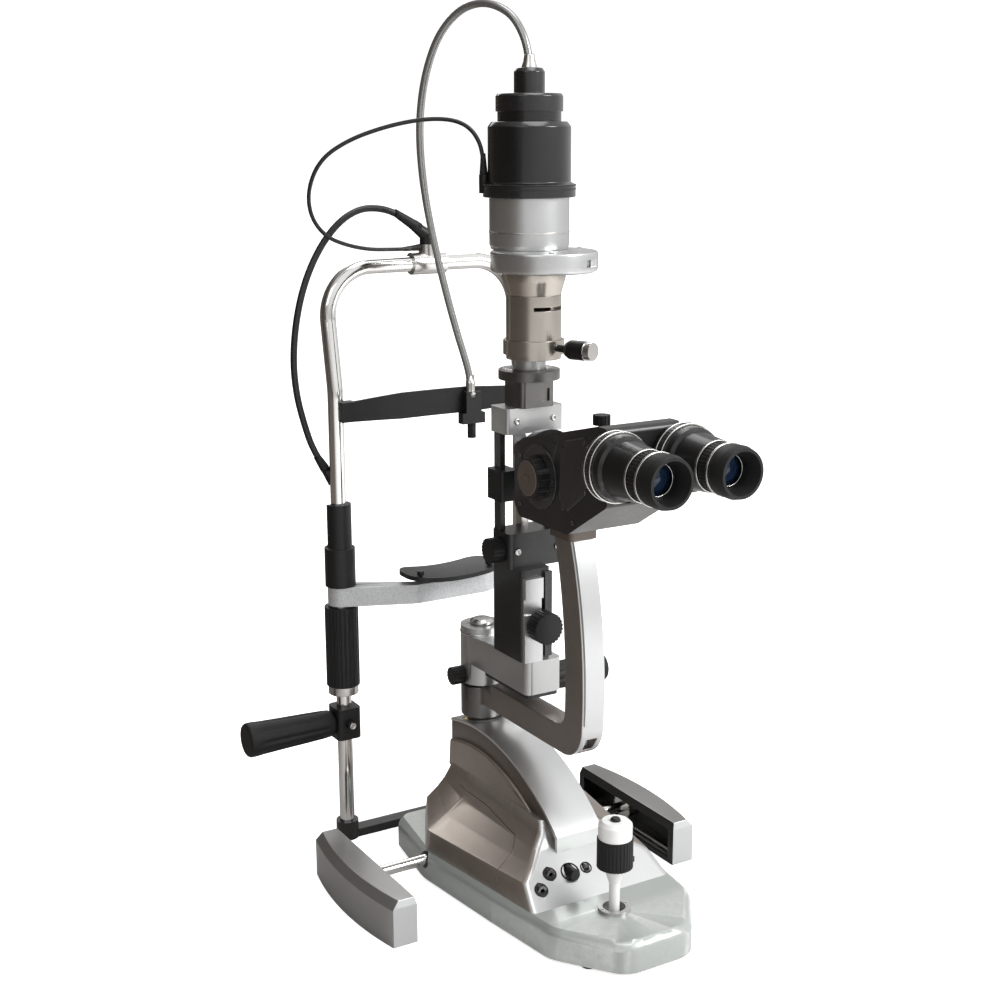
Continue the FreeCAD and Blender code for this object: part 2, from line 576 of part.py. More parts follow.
def make_scope_arm():
    """The C-shaped arm from the pivot up to the microscope."""
    x0 = BASE_X - 11
    x1 = BASE_X + 11
    z0, z1 = SCOPE_ARM_Z
    outer_r = 30.0
    inner_r = 14.0
    back = -187.0
    inside = -160.0
    corner = V(0, back + outer_r, z0 + outer_r)
    inner_corner = V(0, inside + inner_r, z1 + inner_r)

    def on_arc(centre, radius, degrees):
        a = math.radians(degrees)
        return V(0, centre.y + radius * math.cos(a), centre.z + radius * math.sin(a))

    low = [on_arc(corner, outer_r, a) for a in (270, 225, 180)]
    high = [on_arc(inner_corner, inner_r, a) for a in (180, 225, 270)]
    outer_bow = [low[2], V(0, -185, 250), V(0, -168, 330)]
    inner_bow = [V(0, -143, 330), V(0, -158, 250), high[0]]
    end0, end1 = V(0, PIVOT_Y, z0), V(0, PIVOT_Y, z1)
    wire = Part.Wire([Part.makeLine(end0, low[0]), Part.Arc(*low).toShape(), Part.Arc(*outer_bow).toShape(),
                      Part.makeLine(outer_bow[2], inner_bow[0]), Part.Arc(*inner_bow).toShape(),
                      Part.Arc(*high).toShape(), Part.makeLine(high[2], end1), Part.makeLine(end1, end0)])
    arm = Part.Face(wire).extrude(V(x1 - x0, 0, 0))
    arm.translate(V(x0, 0, 0))
    arm = arm.cut(rod((BASE_X, PIVOT_Y, SCOPE_HUB_Z[1]), Z_AXIS, HUB_R + 17, 20))
    hub_z0, hub_z1 = SCOPE_HUB_Z
    arm = fuse(arm, rod((BASE_X, PIVOT_Y, hub_z0), Z_AXIS, HUB_R, hub_z1 - hub_z0))
    slot = box(BASE_X - 5, BASE_X + 5, back - 1, back + 16, 150, 161)
    nodes["scope_arm"] = arm.cut(rod((BASE_X, PIVOT_Y, 100), Z_AXIS, PIVOT_R + RUNNING_GAP, 90)).cut(slot)
    outside = [outer_bow[0] + V(0, -2, 4), V(0, -187, 250), V(0, -170, 330)]
    trim = Part.Wire([Part.Arc(*outside).toShape(), Part.makeLine(outside[2], V(0, -158, 330)),
                      Part.makeLine(V(0, -158, 330), V(0, -172, 176)),
                      Part.makeLine(V(0, -172, 176), outside[0])])
    skin = Part.Face(trim).extrude(V(x1 - x0 - 3, 0, 0))
    skin.translate(V(x0 + 1.5, 0, 0))
    nodes["arm_outer_trim"] = skin.cut(nodes["scope_arm"])
    nodes["arm_side_screw"] = rod((x1, back + 12, 212), X_AXIS, 4, 4)
    pad = rounded_box(x0 - 3, x1 + 3, -172, -138, 330, 343, 5)
    nodes["scope_rest"] = pad


def make_lamp_arm():
    """The arm from the pivot to the foot of the illumination tower."""
    x0 = BASE_X - 18
    x1 = BASE_X + 18
    z0, z1 = LAMP_HUB_Z
    arm = side_plate([(-4, 179), (-4, 205), (-54, 209), (-112, 209), (-112, 179)], x0, x1)
    uprights = [e for e in arm.Edges if e.Length > 25 and abs(e.tangentAt(e.FirstParameter).z) > 0.99
                and e.CenterOfMass.y < -100]
    arm = fuse(arm.makeFillet(6, uprights), rod((BASE_X, PIVOT_Y, z0), Z_AXIS, HUB_R, z1 - z0))
    bore = rod((BASE_X, PIVOT_Y, 100), Z_AXIS, PIVOT_R + RUNNING_GAP, 150)
    lock_axis = (BASE_X - HUB_R - 13, PIVOT_Y, 167)
    nodes["lamp_arm"] = arm.cut([bore, rod(lock_axis, X_AXIS, 3.3, 22)])
    nodes["arm_under_plate"] = rounded_box(x0 + 2, x1 - 2, -110, -34, 175, 179, 4)
    nodes["arm_lock_knob"] = fuse(knurled(lock_axis, X_AXIS, 8.4, 12, 16, 0.8),
                                  rod(lock_axis, X_AXIS, 3, 20))


# ---------------------------------------------------------------- illumination tower


def make_tower_foot():
    """The tower's lower column with the slit-width control."""
    x = BASE_X
    shaft_hole = rod((x - 5, -116, 242), Y_AXIS, 2.8, 16)
    nodes["tower_column"] = rounded_box(x - 21.5, x + 8, -108, -60, 209, 291, 3).cut(shaft_hole)
    steps = [(-108, 209), (-112, 209), (-112, 252), (-110, 252),
             (-110, 266), (-113, 266), (-113, 284), (-108, 284)]
    nodes["tower_front_plate"] = side_plate(steps, x - 20, x - 2).cut(shaft_hole)
    nodes["tower_side_bar"] = box(x + 1, x + 8, -111, -108, 212, 288)
    shaft = rod((x - 5, -118, 242), Y_AXIS, 2.5, 16)
    knob = knurled((x - 5, -127, 242), Y_AXIS, 14, 14, 24, 0.8)
    nodes["slit_width_knob"] = fuse(knob, shaft)
    cross = rounded_box(x - 28, x + 28, -100, -70, 291, 322, 4)
    lock_axis = (x - 40, -84, 306)
    nodes["tower_cross_block"] = cross.cut(rod(lock_axis, X_AXIS, 3.3, 22))
    nodes["mirror_lock_knob"] = fuse(knurled(lock_axis, X_AXIS, 11, 11.5, 20, 0.8),
                                     rod(lock_axis, X_AXIS, 3, 20))


def make_tower_bars():
    """Two flat bars and the slim mirror post between them."""
    x = BASE_X
    bars = [box(x + s * BAR_X - 2.5, x + s * BAR_X + 2.5, -84, -74, *BAR_Z) for s in (-1, 1)]
    nodes["tower_bars"] = group(*bars)
    nodes["mirror_post"] = rounded_box(x - 4, x + 4, -80, -70, 322, 384, 1.5)
    slab = box(-6, 6, -1, 1, -11, 11)
    slab.rotate(V(0, 0, 0), X_AXIS, -45)
    slab.translate(V(x, -77, 393))
    nodes["mirror"] = slab
    holder = side_plate([(-80, 384), (-70, 384), (-70, 392), (-75, 396), (-85, 386)], x - 6, x + 6)
    nodes["mirror_holder"] = holder.cut(slab)
    nodes["filter_clamp"] = rounded_box(x - BAR_X - 8, x - BAR_X + 10, -95, -70, 350, 376, 3).cut(bars[0])
    top = rounded_box(x - 28, x + 28, -96, -68, 407, 429, 3)
    nodes["tower_top_block"] = top.cut(rod((x, LAMP_Y, 400), Z_AXIS, 9, 40))


def make_projection_column():
    """Prism block, collar, slit lever and column below the lamp house."""
    x = BASE_X
    y = LAMP_Y
    block = rounded_box(x - 17, x + 17, y - 15, y + 15, 429, 452, 5)
    block = block.cut(rod((x, y, 420), Z_AXIS, 9, 60))
    nodes["lens_block"] = block.cut(box(x + 3, x + 11, y - 16, y - 13, 434, 445))
    nodes["projection_lens"] = turned((x, y, 434), Z_AXIS, [(0, 8.9), (3, 8.9), (6, 5), (7, 1)])
    nodes["lower_collar"] = ring((x, y, 452), Z_AXIS, 26, 9, 8)
    nodes["column_neck"] = ring((x, y, 460), Z_AXIS, 14, 9, 10)
    column = ring((x, COLUMN_Y, 470), Z_AXIS, 23, 14, 53)
    nodes["projection_column"] = column.cut(box(x - 12, x + 18, COLUMN_Y - 26, COLUMN_Y - 8, 511, 514))
    lever_ring = ring((x, COLUMN_Y, 474), Z_AXIS, 25.5, 23 + RUNNING_GAP, 12)
    outward = V(0.35, -0.937, 0)
    start = V(x, COLUMN_Y, 480) + outward * 24
    arm = rod((start.x, start.y, start.z), outward, 3, 18)
    knob_at = start + outward * 11
    knob = turned((knob_at.x, knob_at.y, knob_at.z), outward,
                  [(0, 6), (4, 8), (20, 8), (20, 7.4), (26, 7.4)])
    nodes["slit_lever"] = fuse(lever_ring, arm, knob)
    nodes["column_taper"] = turned((x, COLUMN_Y, 523), Z_AXIS, [(0, 22.5), (14, 26.5), (20, 26.5)]).cut(
        rod((x, LAMP_Y, 520), Z_AXIS, 12, 30))


def make_aperture_dial():
    """The flat off-centre housing and the dial that turns in it."""
    x = BASE_X
    low = turned((x, DIAL_Y, 543), Z_AXIS, [(0, DIAL_R - 3), (1, DIAL_R - 0.8), (3, DIAL_R), (4, DIAL_R)])
    high = turned((x, DIAL_Y, 555), Z_AXIS, [(0, DIAL_R), (3, DIAL_R), (4.5, DIAL_R - 0.8), (5, DIAL_R - 2)])
    window = box(x + 14, x + 30, DIAL_Y - DIAL_R - 4, DIAL_Y - DIAL_R + 12, 548, 554)
    wall = ring((x, DIAL_Y, 547), Z_AXIS, DIAL_R, DIAL_R - 4, 8).cut(window)
    hub = rod((x, DIAL_Y, 547), Z_AXIS, 6, 8)
    housing = fuse(low, high, wall, hub)
    nodes["dial_housing"] = housing.cut(rod((x, LAMP_Y, 530), Z_AXIS, 9, 40))
    dial = knurled((x, DIAL_Y, 547.5), Z_AXIS, DIAL_R - 4.6, 7, 72, 0.6)
    holes = [rod((x + 23 * math.sin(math.radians(a)), DIAL_Y + 23 * math.cos(math.radians(a)), 540), Z_AXIS,
                 2 + a / 72, 20) for a in range(0, 360, 60)]
    nodes["aperture_dial"] = dial.cut([rod((x, DIAL_Y, 540), Z_AXIS, 6 + RUNNING_GAP, 20)] + holes)


def make_lamp_house():
    """Condenser barrel, black lamp house and its stepped cap, with the bulb inside."""
    x = BASE_X
    y = LAMP_Y
    nodes["condenser_barrel"] = turned((x, y, 560), Z_AXIS, [(0, 32), (4, 33), (42, 33)]).cut(
        rod((x, y, 550), Z_AXIS, 26, 60))
    nodes["condenser_lens"] = turned((x, y, 575), Z_AXIS, [(0, 25.9), (5, 25.9), (12, 14), (14, 3)])
    nodes["lamp_socket"] = turned((x, y, 630), Z_AXIS, [(0, 11), (16, 11), (16, 24), (19, 24)])
    nodes["bulb"] = turned((x, y, 604), Z_AXIS, [(0, 2), (3, 7), (10, 9), (18, 7), (20, 5), (26, 5)])
    house = turned((x, y, 602), Z_AXIS, [(0, 38), (10, 38), (12, 34), (56, 34), (60, 31)])
    house = house.cut(turned((x, y, 602), Z_AXIS, [(-1, 30), (54, 30), (55, 12), (70, 12)]))
    lead_side = V(-0.859, 0.512, 0)
    inlet = lead_side * 37
    nodes["lead_connector"] = rod((x + inlet.x, y + inlet.y, 605), Z_AXIS, 4.2, 15).cut(
        turned((x, y, 602), Z_AXIS, [(0, 38), (10, 38), (12, 34), (56, 34)]))
    nodes["lamp_house"] = house
    cap_ring = turned((x, y, 662), Z_AXIS, [(0, 26), (8, 26), (8, 27.5), (20, 27.5), (22, 26)])
    cap_room = turned((x, y, 662), Z_AXIS, [(-1, 20), (16, 20), (17, 5), (40, 5)])
    nodes["lamp_cap_ring"] = cap_ring.cut(cap_room)
    nodes["lamp_cap"] = turned((x, y, 684), Z_AXIS, [(0, 12.6), (17, 12.6), (20, 10.5)]).cut(
        rod((x, y, 680), Z_AXIS, 4, 40))


# ---------------------------------------------------------------- microscope


def make_scope_body():
    """The magnification changer's body, its lens mount and its drum."""
    x0 = BASE_X - SCOPE_HALF
    x1 = BASE_X + SCOPE_HALF
    body = side_plate([(-118, 354), (-118, 404), (-132, 412), (-186, 425), (-238, 438), (-252, 438),
                       (-252, 378), (-198, 345), (-126, 345)], x0, x1)
    long_edges = [e for e in body.Edges if e.Length > 60 and abs(e.tangentAt(e.FirstParameter).x) > 0.99]
    body = body.makeFillet(5, long_edges)
    ports = [rod((BASE_X + s * 14, -252, SCOPE_Z + 4), Y_AXIS, 9, 60) for s in (-1, 1)]
    core = rod((x0 - 1, DRUM_Y, SCOPE_Z), X_AXIS, 24, 80)
    front = [rod((BASE_X + s * 14, -150, SCOPE_Z), Y_AXIS, 9, 40) for s in (-1, 1)]
    nodes["scope_body"] = body.cut([core] + ports + front)
    mount = ring((BASE_X, -118, SCOPE_Z), Y_AXIS, 27, 24, 12)
    nodes["objective_mount"] = fuse(mount, ring((BASE_X, -118, SCOPE_Z), Y_AXIS, 29, 24, 4))
    nodes["objective_lens"] = turned((BASE_X, -114, SCOPE_Z), Y_AXIS,
                                     [(0, 23.9), (4, 23.9), (7, 14), (8, 3)])
    drum = rod((x0 - 1, DRUM_Y, SCOPE_Z), X_AXIS, 23.6, 2 * SCOPE_HALF + 2)
    channels = []
    for i, radius in enumerate((8, 6, 7)):
        for side in (-1, 1):
            channel = rod((side * 14, -30, 0), Y_AXIS, radius, 60)
            channel.rotate(V(0, 0, 0), X_AXIS, 60 * i)
            channel.translate(V(BASE_X, DRUM_Y, SCOPE_Z))
            channels.append(channel)
    drum = drum.cut(channels)
    knobs = [knurled((x0 - 11, DRUM_Y, SCOPE_Z), X_AXIS, 17, 10.2, 20, 0.8),
             knurled((x1 + 0.8, DRUM_Y, SCOPE_Z), X_AXIS, 17, 10.2, 20, 0.8)]
    nodes["magnification_drum"] = fuse(drum, *knobs)
    knob_seat = rod((BASE_X - 4, -200, 418), Z_AXIS, 2.8, 30)
    nodes["scope_body"] = nodes["scope_body"].cut(knob_seat)
    top_knob = knurled((BASE_X - 4, -200, 430.5), Z_AXIS, 7, 8, 14, 0.6)
    nodes["breath_shield_knob"] = fuse(top_knob, rod((BASE_X - 4, -200, 424), Z_AXIS, 2.5, 12))


def make_oculars():
    """Two round housings that swing to the eyes' spacing, each with an eyepiece."""
    for side, name in ((-1, "left"), (1, "right")):
        x = BASE_X + side * PUPIL_HALF
        profile = [(0, 25.5), (4, 26.5), (20, 25), (22, 22.5), (46, 20.5), (47, 19), (47.4, 19)]
        barrel = turned((x, -252.4, EYE_Z), V(0, -1, 0), profile)
        root = knurled((x, -256, EYE_Z), V(0, -1, 0), 27, 9, 56, 0.5)
        tube = ring((x, -312, EYE_Z), Y_AXIS, 17, 13, 34)
        housing = fuse(barrel, root, tube)
        nodes["prism_box_" + name] = housing.cut(rod((x, -313, EYE_Z), Y_AXIS, 13, 32))
        focus = knurled((0, 0, 0), Z_AXIS, 19, 9.4, 40, 0.5)
        focus.Placement = FreeCAD.Placement(V(x, -300.4, EYE_Z), FreeCAD.Rotation(Z_AXIS, V(0, -1, 0)))
        cup = turned((x, -309.8, EYE_Z), V(0, -1, 0), [(0, 18), (4, 20), (14, 20.5), (20, 19)])
        cup = cup.cut(turned((x, -309.8, EYE_Z), V(0, -1, 0), [(-4, 13), (8, 13), (21, 17)]))
        eyepiece = focus.fuse(cup).cut(rod((x, -330, EYE_Z), Y_AXIS, 13, 60))
        nodes["eyepiece_" + name] = eyepiece.cut(rod((x, -313, EYE_Z), Y_AXIS, 17 + RUNNING_GAP, 30))
    profile = [(0, 12.9), (3, 12.9), (6, 8), (7, 2)]
    lenses = [turned((BASE_X + s * PUPIL_HALF, -306, EYE_Z), V(0, -1, 0), profile) for s in (-1, 1)]
    nodes["eye_lens_left"] = lenses[0]
    nodes["eye_lens_right"] = lenses[1]


# ---------------------------------------------------------------- cords


def make_cords():
    """The lamp's flexible conduit and the two cables of the headrest."""
    nodes["lamp_conduit"] = cord_tube(CONDUIT, 6.5, "lamp_conduit")
    nodes["power_cable"] = cord_tube(POWER_FEED, 6.0, "power_cable")
    nodes["lamp_lead"] = cord_tube(LAMP_LEAD, 3.5, "lamp_lead")


JOINED = {
    "cross_bar": ["post_sockets"],
    "clamp_screws": ["socket_screws", "handle_screws", "conduit_clamp_screw"],
    "post_clamps": ["band_brackets", "handle_clamps", "conduit_clamp"],
    "cable_fittings": ["top_tee", "angled_plug", "post_gland"],
    "rail_covers": ["rail_cover_left", "rail_cover_right"],
    "chin_bar": ["chin_sleeve"],
    "chin_cup": ["paper_pins"],
    "hump_housing": ["saddle_core"],
    "guide_bushes": ["lift_guide", "axle_bushes"],
    "base_fittings": ["front_jacks", "power_indicator", "joystick_collar", "glide_feet"],
    "joystick_grip": ["joystick_cap"],
    "pivot_post": ["hub_spacer", "pivot_cap"],
    "arm_fittings": ["arm_outer_trim", "arm_side_screw", "scope_rest"],
    "objective": ["objective_mount", "objective_lens"],
    "eyepiece_left": ["eye_lens_left"],
    "eyepiece_right": ["eye_lens_right"],
    "tower_column": ["tower_front_plate", "tower_side_bar", "arm_under_plate"],
    "tower_cross_blocks": ["tower_cross_block", "tower_top_block"],
    "tower_bars": ["mirror_post", "mirror_holder", "filter_clamp"],
    "projection_lenses": ["projection_lens", "condenser_lens"],
    "projection_column": ["lower_collar", "column_neck", "column_taper"],
    "lamp_cap": ["lamp_cap_ring", "lead_connector"],
}
CORDS = ("lamp_conduit", "power_cable", "lamp_lead")


def join_small_pieces():
    """Pieces of one body that share a node, each still a solid of its own."""
    for name, members in JOINED.items():
        own = [nodes[name]] if name in nodes else []
        nodes[name] = group(*own, *[nodes.pop(m) for m in members])


def main():
    os.makedirs("parts", exist_ok=True)
    for make in (make_frame_tube, make_frame_foot, make_forehead_band, make_handles, make_chin_rest,
                 make_fixation_clamp, make_top_tee, make_rails, make_running_gear, make_base_plate,
                 make_saddle, make_hump, make_front_controls, make_joystick, make_lift, make_scope_arm,
                 make_lamp_arm, make_tower_foot, make_tower_bars, make_projection_column,
                 make_aperture_dial, make_lamp_house, make_scope_body, make_oculars, make_cords):
        make()
    join_small_pieces()
    whole = FreeCAD.BoundBox()
    for name, shape in nodes.items():
        shape.translate(FRAME_SHIFT)
        if name not in CORDS:
            whole.add(shape.BoundBox)
        if not shape.isValid() or not shape.Solids:
            print("BAD", name, shape.ShapeType)
        shape.exportStep("parts/" + name + ".step")
    print(len(nodes), "nodes, box", whole)


main()
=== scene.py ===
import bpy
import bmesh
import math
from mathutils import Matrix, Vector
from mathutils.bvhtree import BVHTree


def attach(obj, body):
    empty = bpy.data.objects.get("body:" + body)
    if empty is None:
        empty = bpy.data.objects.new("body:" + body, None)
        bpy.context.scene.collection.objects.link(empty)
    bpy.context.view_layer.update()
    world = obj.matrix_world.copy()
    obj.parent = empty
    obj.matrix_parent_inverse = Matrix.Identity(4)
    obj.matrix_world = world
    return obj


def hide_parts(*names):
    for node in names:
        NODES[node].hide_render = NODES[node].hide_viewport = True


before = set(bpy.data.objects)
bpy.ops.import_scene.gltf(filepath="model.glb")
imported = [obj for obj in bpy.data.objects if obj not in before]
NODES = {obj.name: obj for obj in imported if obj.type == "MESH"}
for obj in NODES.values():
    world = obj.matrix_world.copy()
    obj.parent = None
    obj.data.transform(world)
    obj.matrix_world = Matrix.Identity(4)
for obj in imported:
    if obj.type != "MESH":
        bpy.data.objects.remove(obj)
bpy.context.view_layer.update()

# The CAD's own measures. SHIFT, in metres, is where the CAD's origin lies in the row frame. In millimetres:
# BASE_X is the instrument's centre plane, LAMP_Y the tower's axis, EYE_HALF and EYE_Z the eyepieces' places
# from that plane and from the table, DRUM_Y and DRUM_Z the magnification drum's axis.
MM = 0.001
SHIFT = Vector((0.0, 0.1234, 0.0))
BASE_X = 15.0
LAMP_Y = -86
EYE_HALF = 32
EYE_Z = 411
DRUM_Y = -156
DRUM_Z = 384

WELD_GAP = 0.000004
SHARP_ANGLE = 32
UP = (0, 0, 1)
TO_DOCTOR = (0, -1, 0)
SIDES = ((-1, "left"), (1, "right"))


def at(x, y, z):
    """A point given in the CAD's millimetres, in the row frame's metres."""
    return Vector((x, y, z)) * MM + SHIFT


# ---------------------------------------------------------------- camera


def make_camera():
    """Left of the doctor's side, a little above the lamp's middle, looking down at the instrument."""
    data = bpy.data.cameras.new("camera")
    camera = bpy.data.objects.new("camera", data)
    bpy.context.scene.collection.objects.link(camera)
    look_down, roll, turn = 13.4, 0.2, -30.8
    camera.location = at(-661.8, -1174.8, 651.7)
    camera.rotation_euler = (math.radians(90 - look_down), math.radians(roll), math.radians(turn))
    data.sensor_width = 36
    data.lens = 55.2
    data.clip_end = 20
    bpy.context.scene.camera = camera


# ---------------------------------------------------------------- materials


def new_material(name):
    """A material with its node tree and shader."""
    material = bpy.data.materials.new(name)
    material.use_nodes = True
    tree = material.node_tree
    return material, tree, tree.nodes["Principled BSDF"]


def add(tree, kind, **settings):
    node = tree.nodes.new(kind)
    for key, value in settings.items():
        setattr(node, key, value)
    return node


def coordinates(tree, stretch=(1, 1, 1)):
    """Places on the object itself, so a pattern moves with its piece."""
    place = add(tree, "ShaderNodeTexCoord")
    mapping = add(tree, "ShaderNodeMapping")
    mapping.inputs["Scale"].default_value = stretch
    tree.links.new(place.outputs["Object"], mapping.inputs["Vector"])
    return mapping.outputs["Vector"]


def noise(tree, vector, scale, detail=3.0, roughness=0.5):
    texture = add(tree, "ShaderNodeTexNoise")
    texture.inputs["Scale"].default_value = scale
    texture.inputs["Detail"].default_value = detail
    texture.inputs["Roughness"].default_value = roughness
    tree.links.new(vector, texture.inputs["Vector"])
    return texture.outputs["Fac"]


def ramp(tree, factor, low, high, start=0.3, end=0.7):
    """A colour that runs from low to high as the factor runs from start to end."""
    node = add(tree, "ShaderNodeValToRGB")
    node.color_ramp.elements[0].position = start
    node.color_ramp.elements[1].position = end
    node.color_ramp.elements[0].color = (*low, 1)
    node.color_ramp.elements[1].color = (*high, 1)
    tree.links.new(factor, node.inputs["Fac"])
    return node.outputs["Color"]


def spread(tree, factor, low, high):
    """A value that runs from low to high as the factor runs from 0 to 1."""
    node = add(tree, "ShaderNodeMapRange")
    node.inputs["To Min"].default_value = low
    node.inputs["To Max"].default_value = high
    tree.links.new(factor, node.inputs["Value"])
    return node.outputs["Result"]


def mix(tree, factor, one, two):
    """The colour one where the factor is 0 and two where it is 1; each is a tuple or a socket."""
    node = add(tree, "ShaderNodeMix", data_type="RGBA")
    colour_a, colour_b, colour_result = 6, 7, 2
    tree.links.new(factor, node.inputs["Factor"])
    for socket, value in ((node.inputs[colour_a], one), (node.inputs[colour_b], two)):
        if isinstance(value, tuple):
            socket.default_value = (*value, 1)
        else:
            tree.links.new(value, socket)
    return node.outputs[colour_result]


def bump(tree, shader, height, strength, distance):
    node = add(tree, "ShaderNodeBump")
    node.inputs["Strength"].default_value = strength
    node.inputs["Distance"].default_value = distance
    tree.links.new(height, node.inputs["Height"])
    tree.links.new(node.outputs["Normal"], shader.inputs["Normal"])


def shade(colour, factor):
    """A colour made lighter or darker."""
    return tuple(min(1.0, c * factor) for c in colour)


def edge_wear(tree, colour, worn, amount):
    """The coat's colour, with the worn one where edges are rubbed. Flat faces have a pointiness of about
    0.5, which low and high bring to a little below 0."""
    low, high = -7.7, 7.4
    geometry = add(tree, "ShaderNodeNewGeometry")
    rub = add(tree, "ShaderNodeMath", operation="MULTIPLY")
    tree.links.new(spread(tree, geometry.outputs["Pointiness"], low, high), rub.inputs[0])
    tree.links.new(noise(tree, coordinates(tree), 160.0, 4.0, 0.7), rub.inputs[1])
    scaled = add(tree, "ShaderNodeMath", operation="MULTIPLY", use_clamp=True)
    tree.links.new(rub.outputs[0], scaled.inputs[0])
    scaled.inputs[1].default_value = amount
    return mix(tree, scaled.outputs[0], colour, worn)


def surface(name, colour, rough, metal=0.0, grain=900.0, depth=0.00006, vary=0.12, coat=0.0, specular=0.5,
            strength=0.35, speckle=0.0, worn=None):
    """A solid finish: cloudy colour, uneven gloss, fine grain and, where asked, speckles and worn edges."""
    material, tree, shader = new_material(name)
    vector = coordinates(tree)
    clouds = noise(tree, vector, 14.0, 4.0, 0.6)
    colour_out = ramp(tree, clouds, shade(colour, 1 - vary), shade(colour, 1 + vary))
    if speckle:
        flecks = noise(tree, vector, 1100.0, 1.0)
        colour_out = mix(tree, ramp(tree, flecks, (0, 0, 0), (1, 1, 1), 0.52, 0.72), colour_out,
                         shade(colour, 1 - speckle))
    if worn:
        colour_out = edge_wear(tree, colour_out, worn, 0.5)
    tree.links.new(colour_out, shader.inputs["Base Color"])
    swing = 0.07 if metal > 0.3 else 0.2
    smudges = noise(tree, vector, 30.0, 2.0, 0.5)
    tree.links.new(spread(tree, smudges, rough * (1 - swing), min(1.0, rough * (1 + swing))),
                   shader.inputs["Roughness"])
    shader.inputs["Metallic"].default_value = metal
    shader.inputs["Coat Weight"].default_value = coat
    shader.inputs["Coat Roughness"].default_value = 0.12
    shader.inputs["Specular IOR Level"].default_value = specular
    bump(tree, shader, noise(tree, vector, grain, 2.0), strength, depth)
    return material


def glass(name, colour, rough=0.02, tint=0.6, clear=0.35, coat=1.0):
    """Coated lens glass: dark inside with a bluish bloom."""
    material, tree, shader = new_material(name)
    vector = coordinates(tree)
    bloom = noise(tree, vector, 60.0, 2.0)
    tree.links.new(ramp(tree, bloom, shade(colour, 1 - tint), colour, 0.2, 0.8), shader.inputs["Base Color"])
    tree.links.new(spread(tree, noise(tree, vector, 240.0), rough, rough * 3), shader.inputs["Roughness"])
    shader.inputs["Transmission Weight"].default_value = clear
    shader.inputs["IOR"].default_value = 1.52 if clear else 1.35
    shader.inputs["Coat Weight"].default_value = coat
    shader.inputs["Coat Roughness"].default_value = 0.03
    return material


def brushed(name, colour, rough, direction):
    """Metal with drawn lines along one direction."""
    along, across = 6, 900
    stretch = {"x": (along, across, across), "z": (across, across, along)}[direction]
    material, tree, shader = new_material(name)
    lines = noise(tree, coordinates(tree, stretch), 1.0, 3.0, 0.7)
    clouds = noise(tree, coordinates(tree), 20.0, 4.0)
    tree.links.new(ramp(tree, clouds, shade(colour, 0.86), shade(colour, 1.1)), shader.inputs["Base Color"])
    tree.links.new(spread(tree, lines, rough * 0.7, rough * 1.35), shader.inputs["Roughness"])
    shader.inputs["Metallic"].default_value = 1.0
    bump(tree, shader, lines, 0.25, 0.00003)
    return material


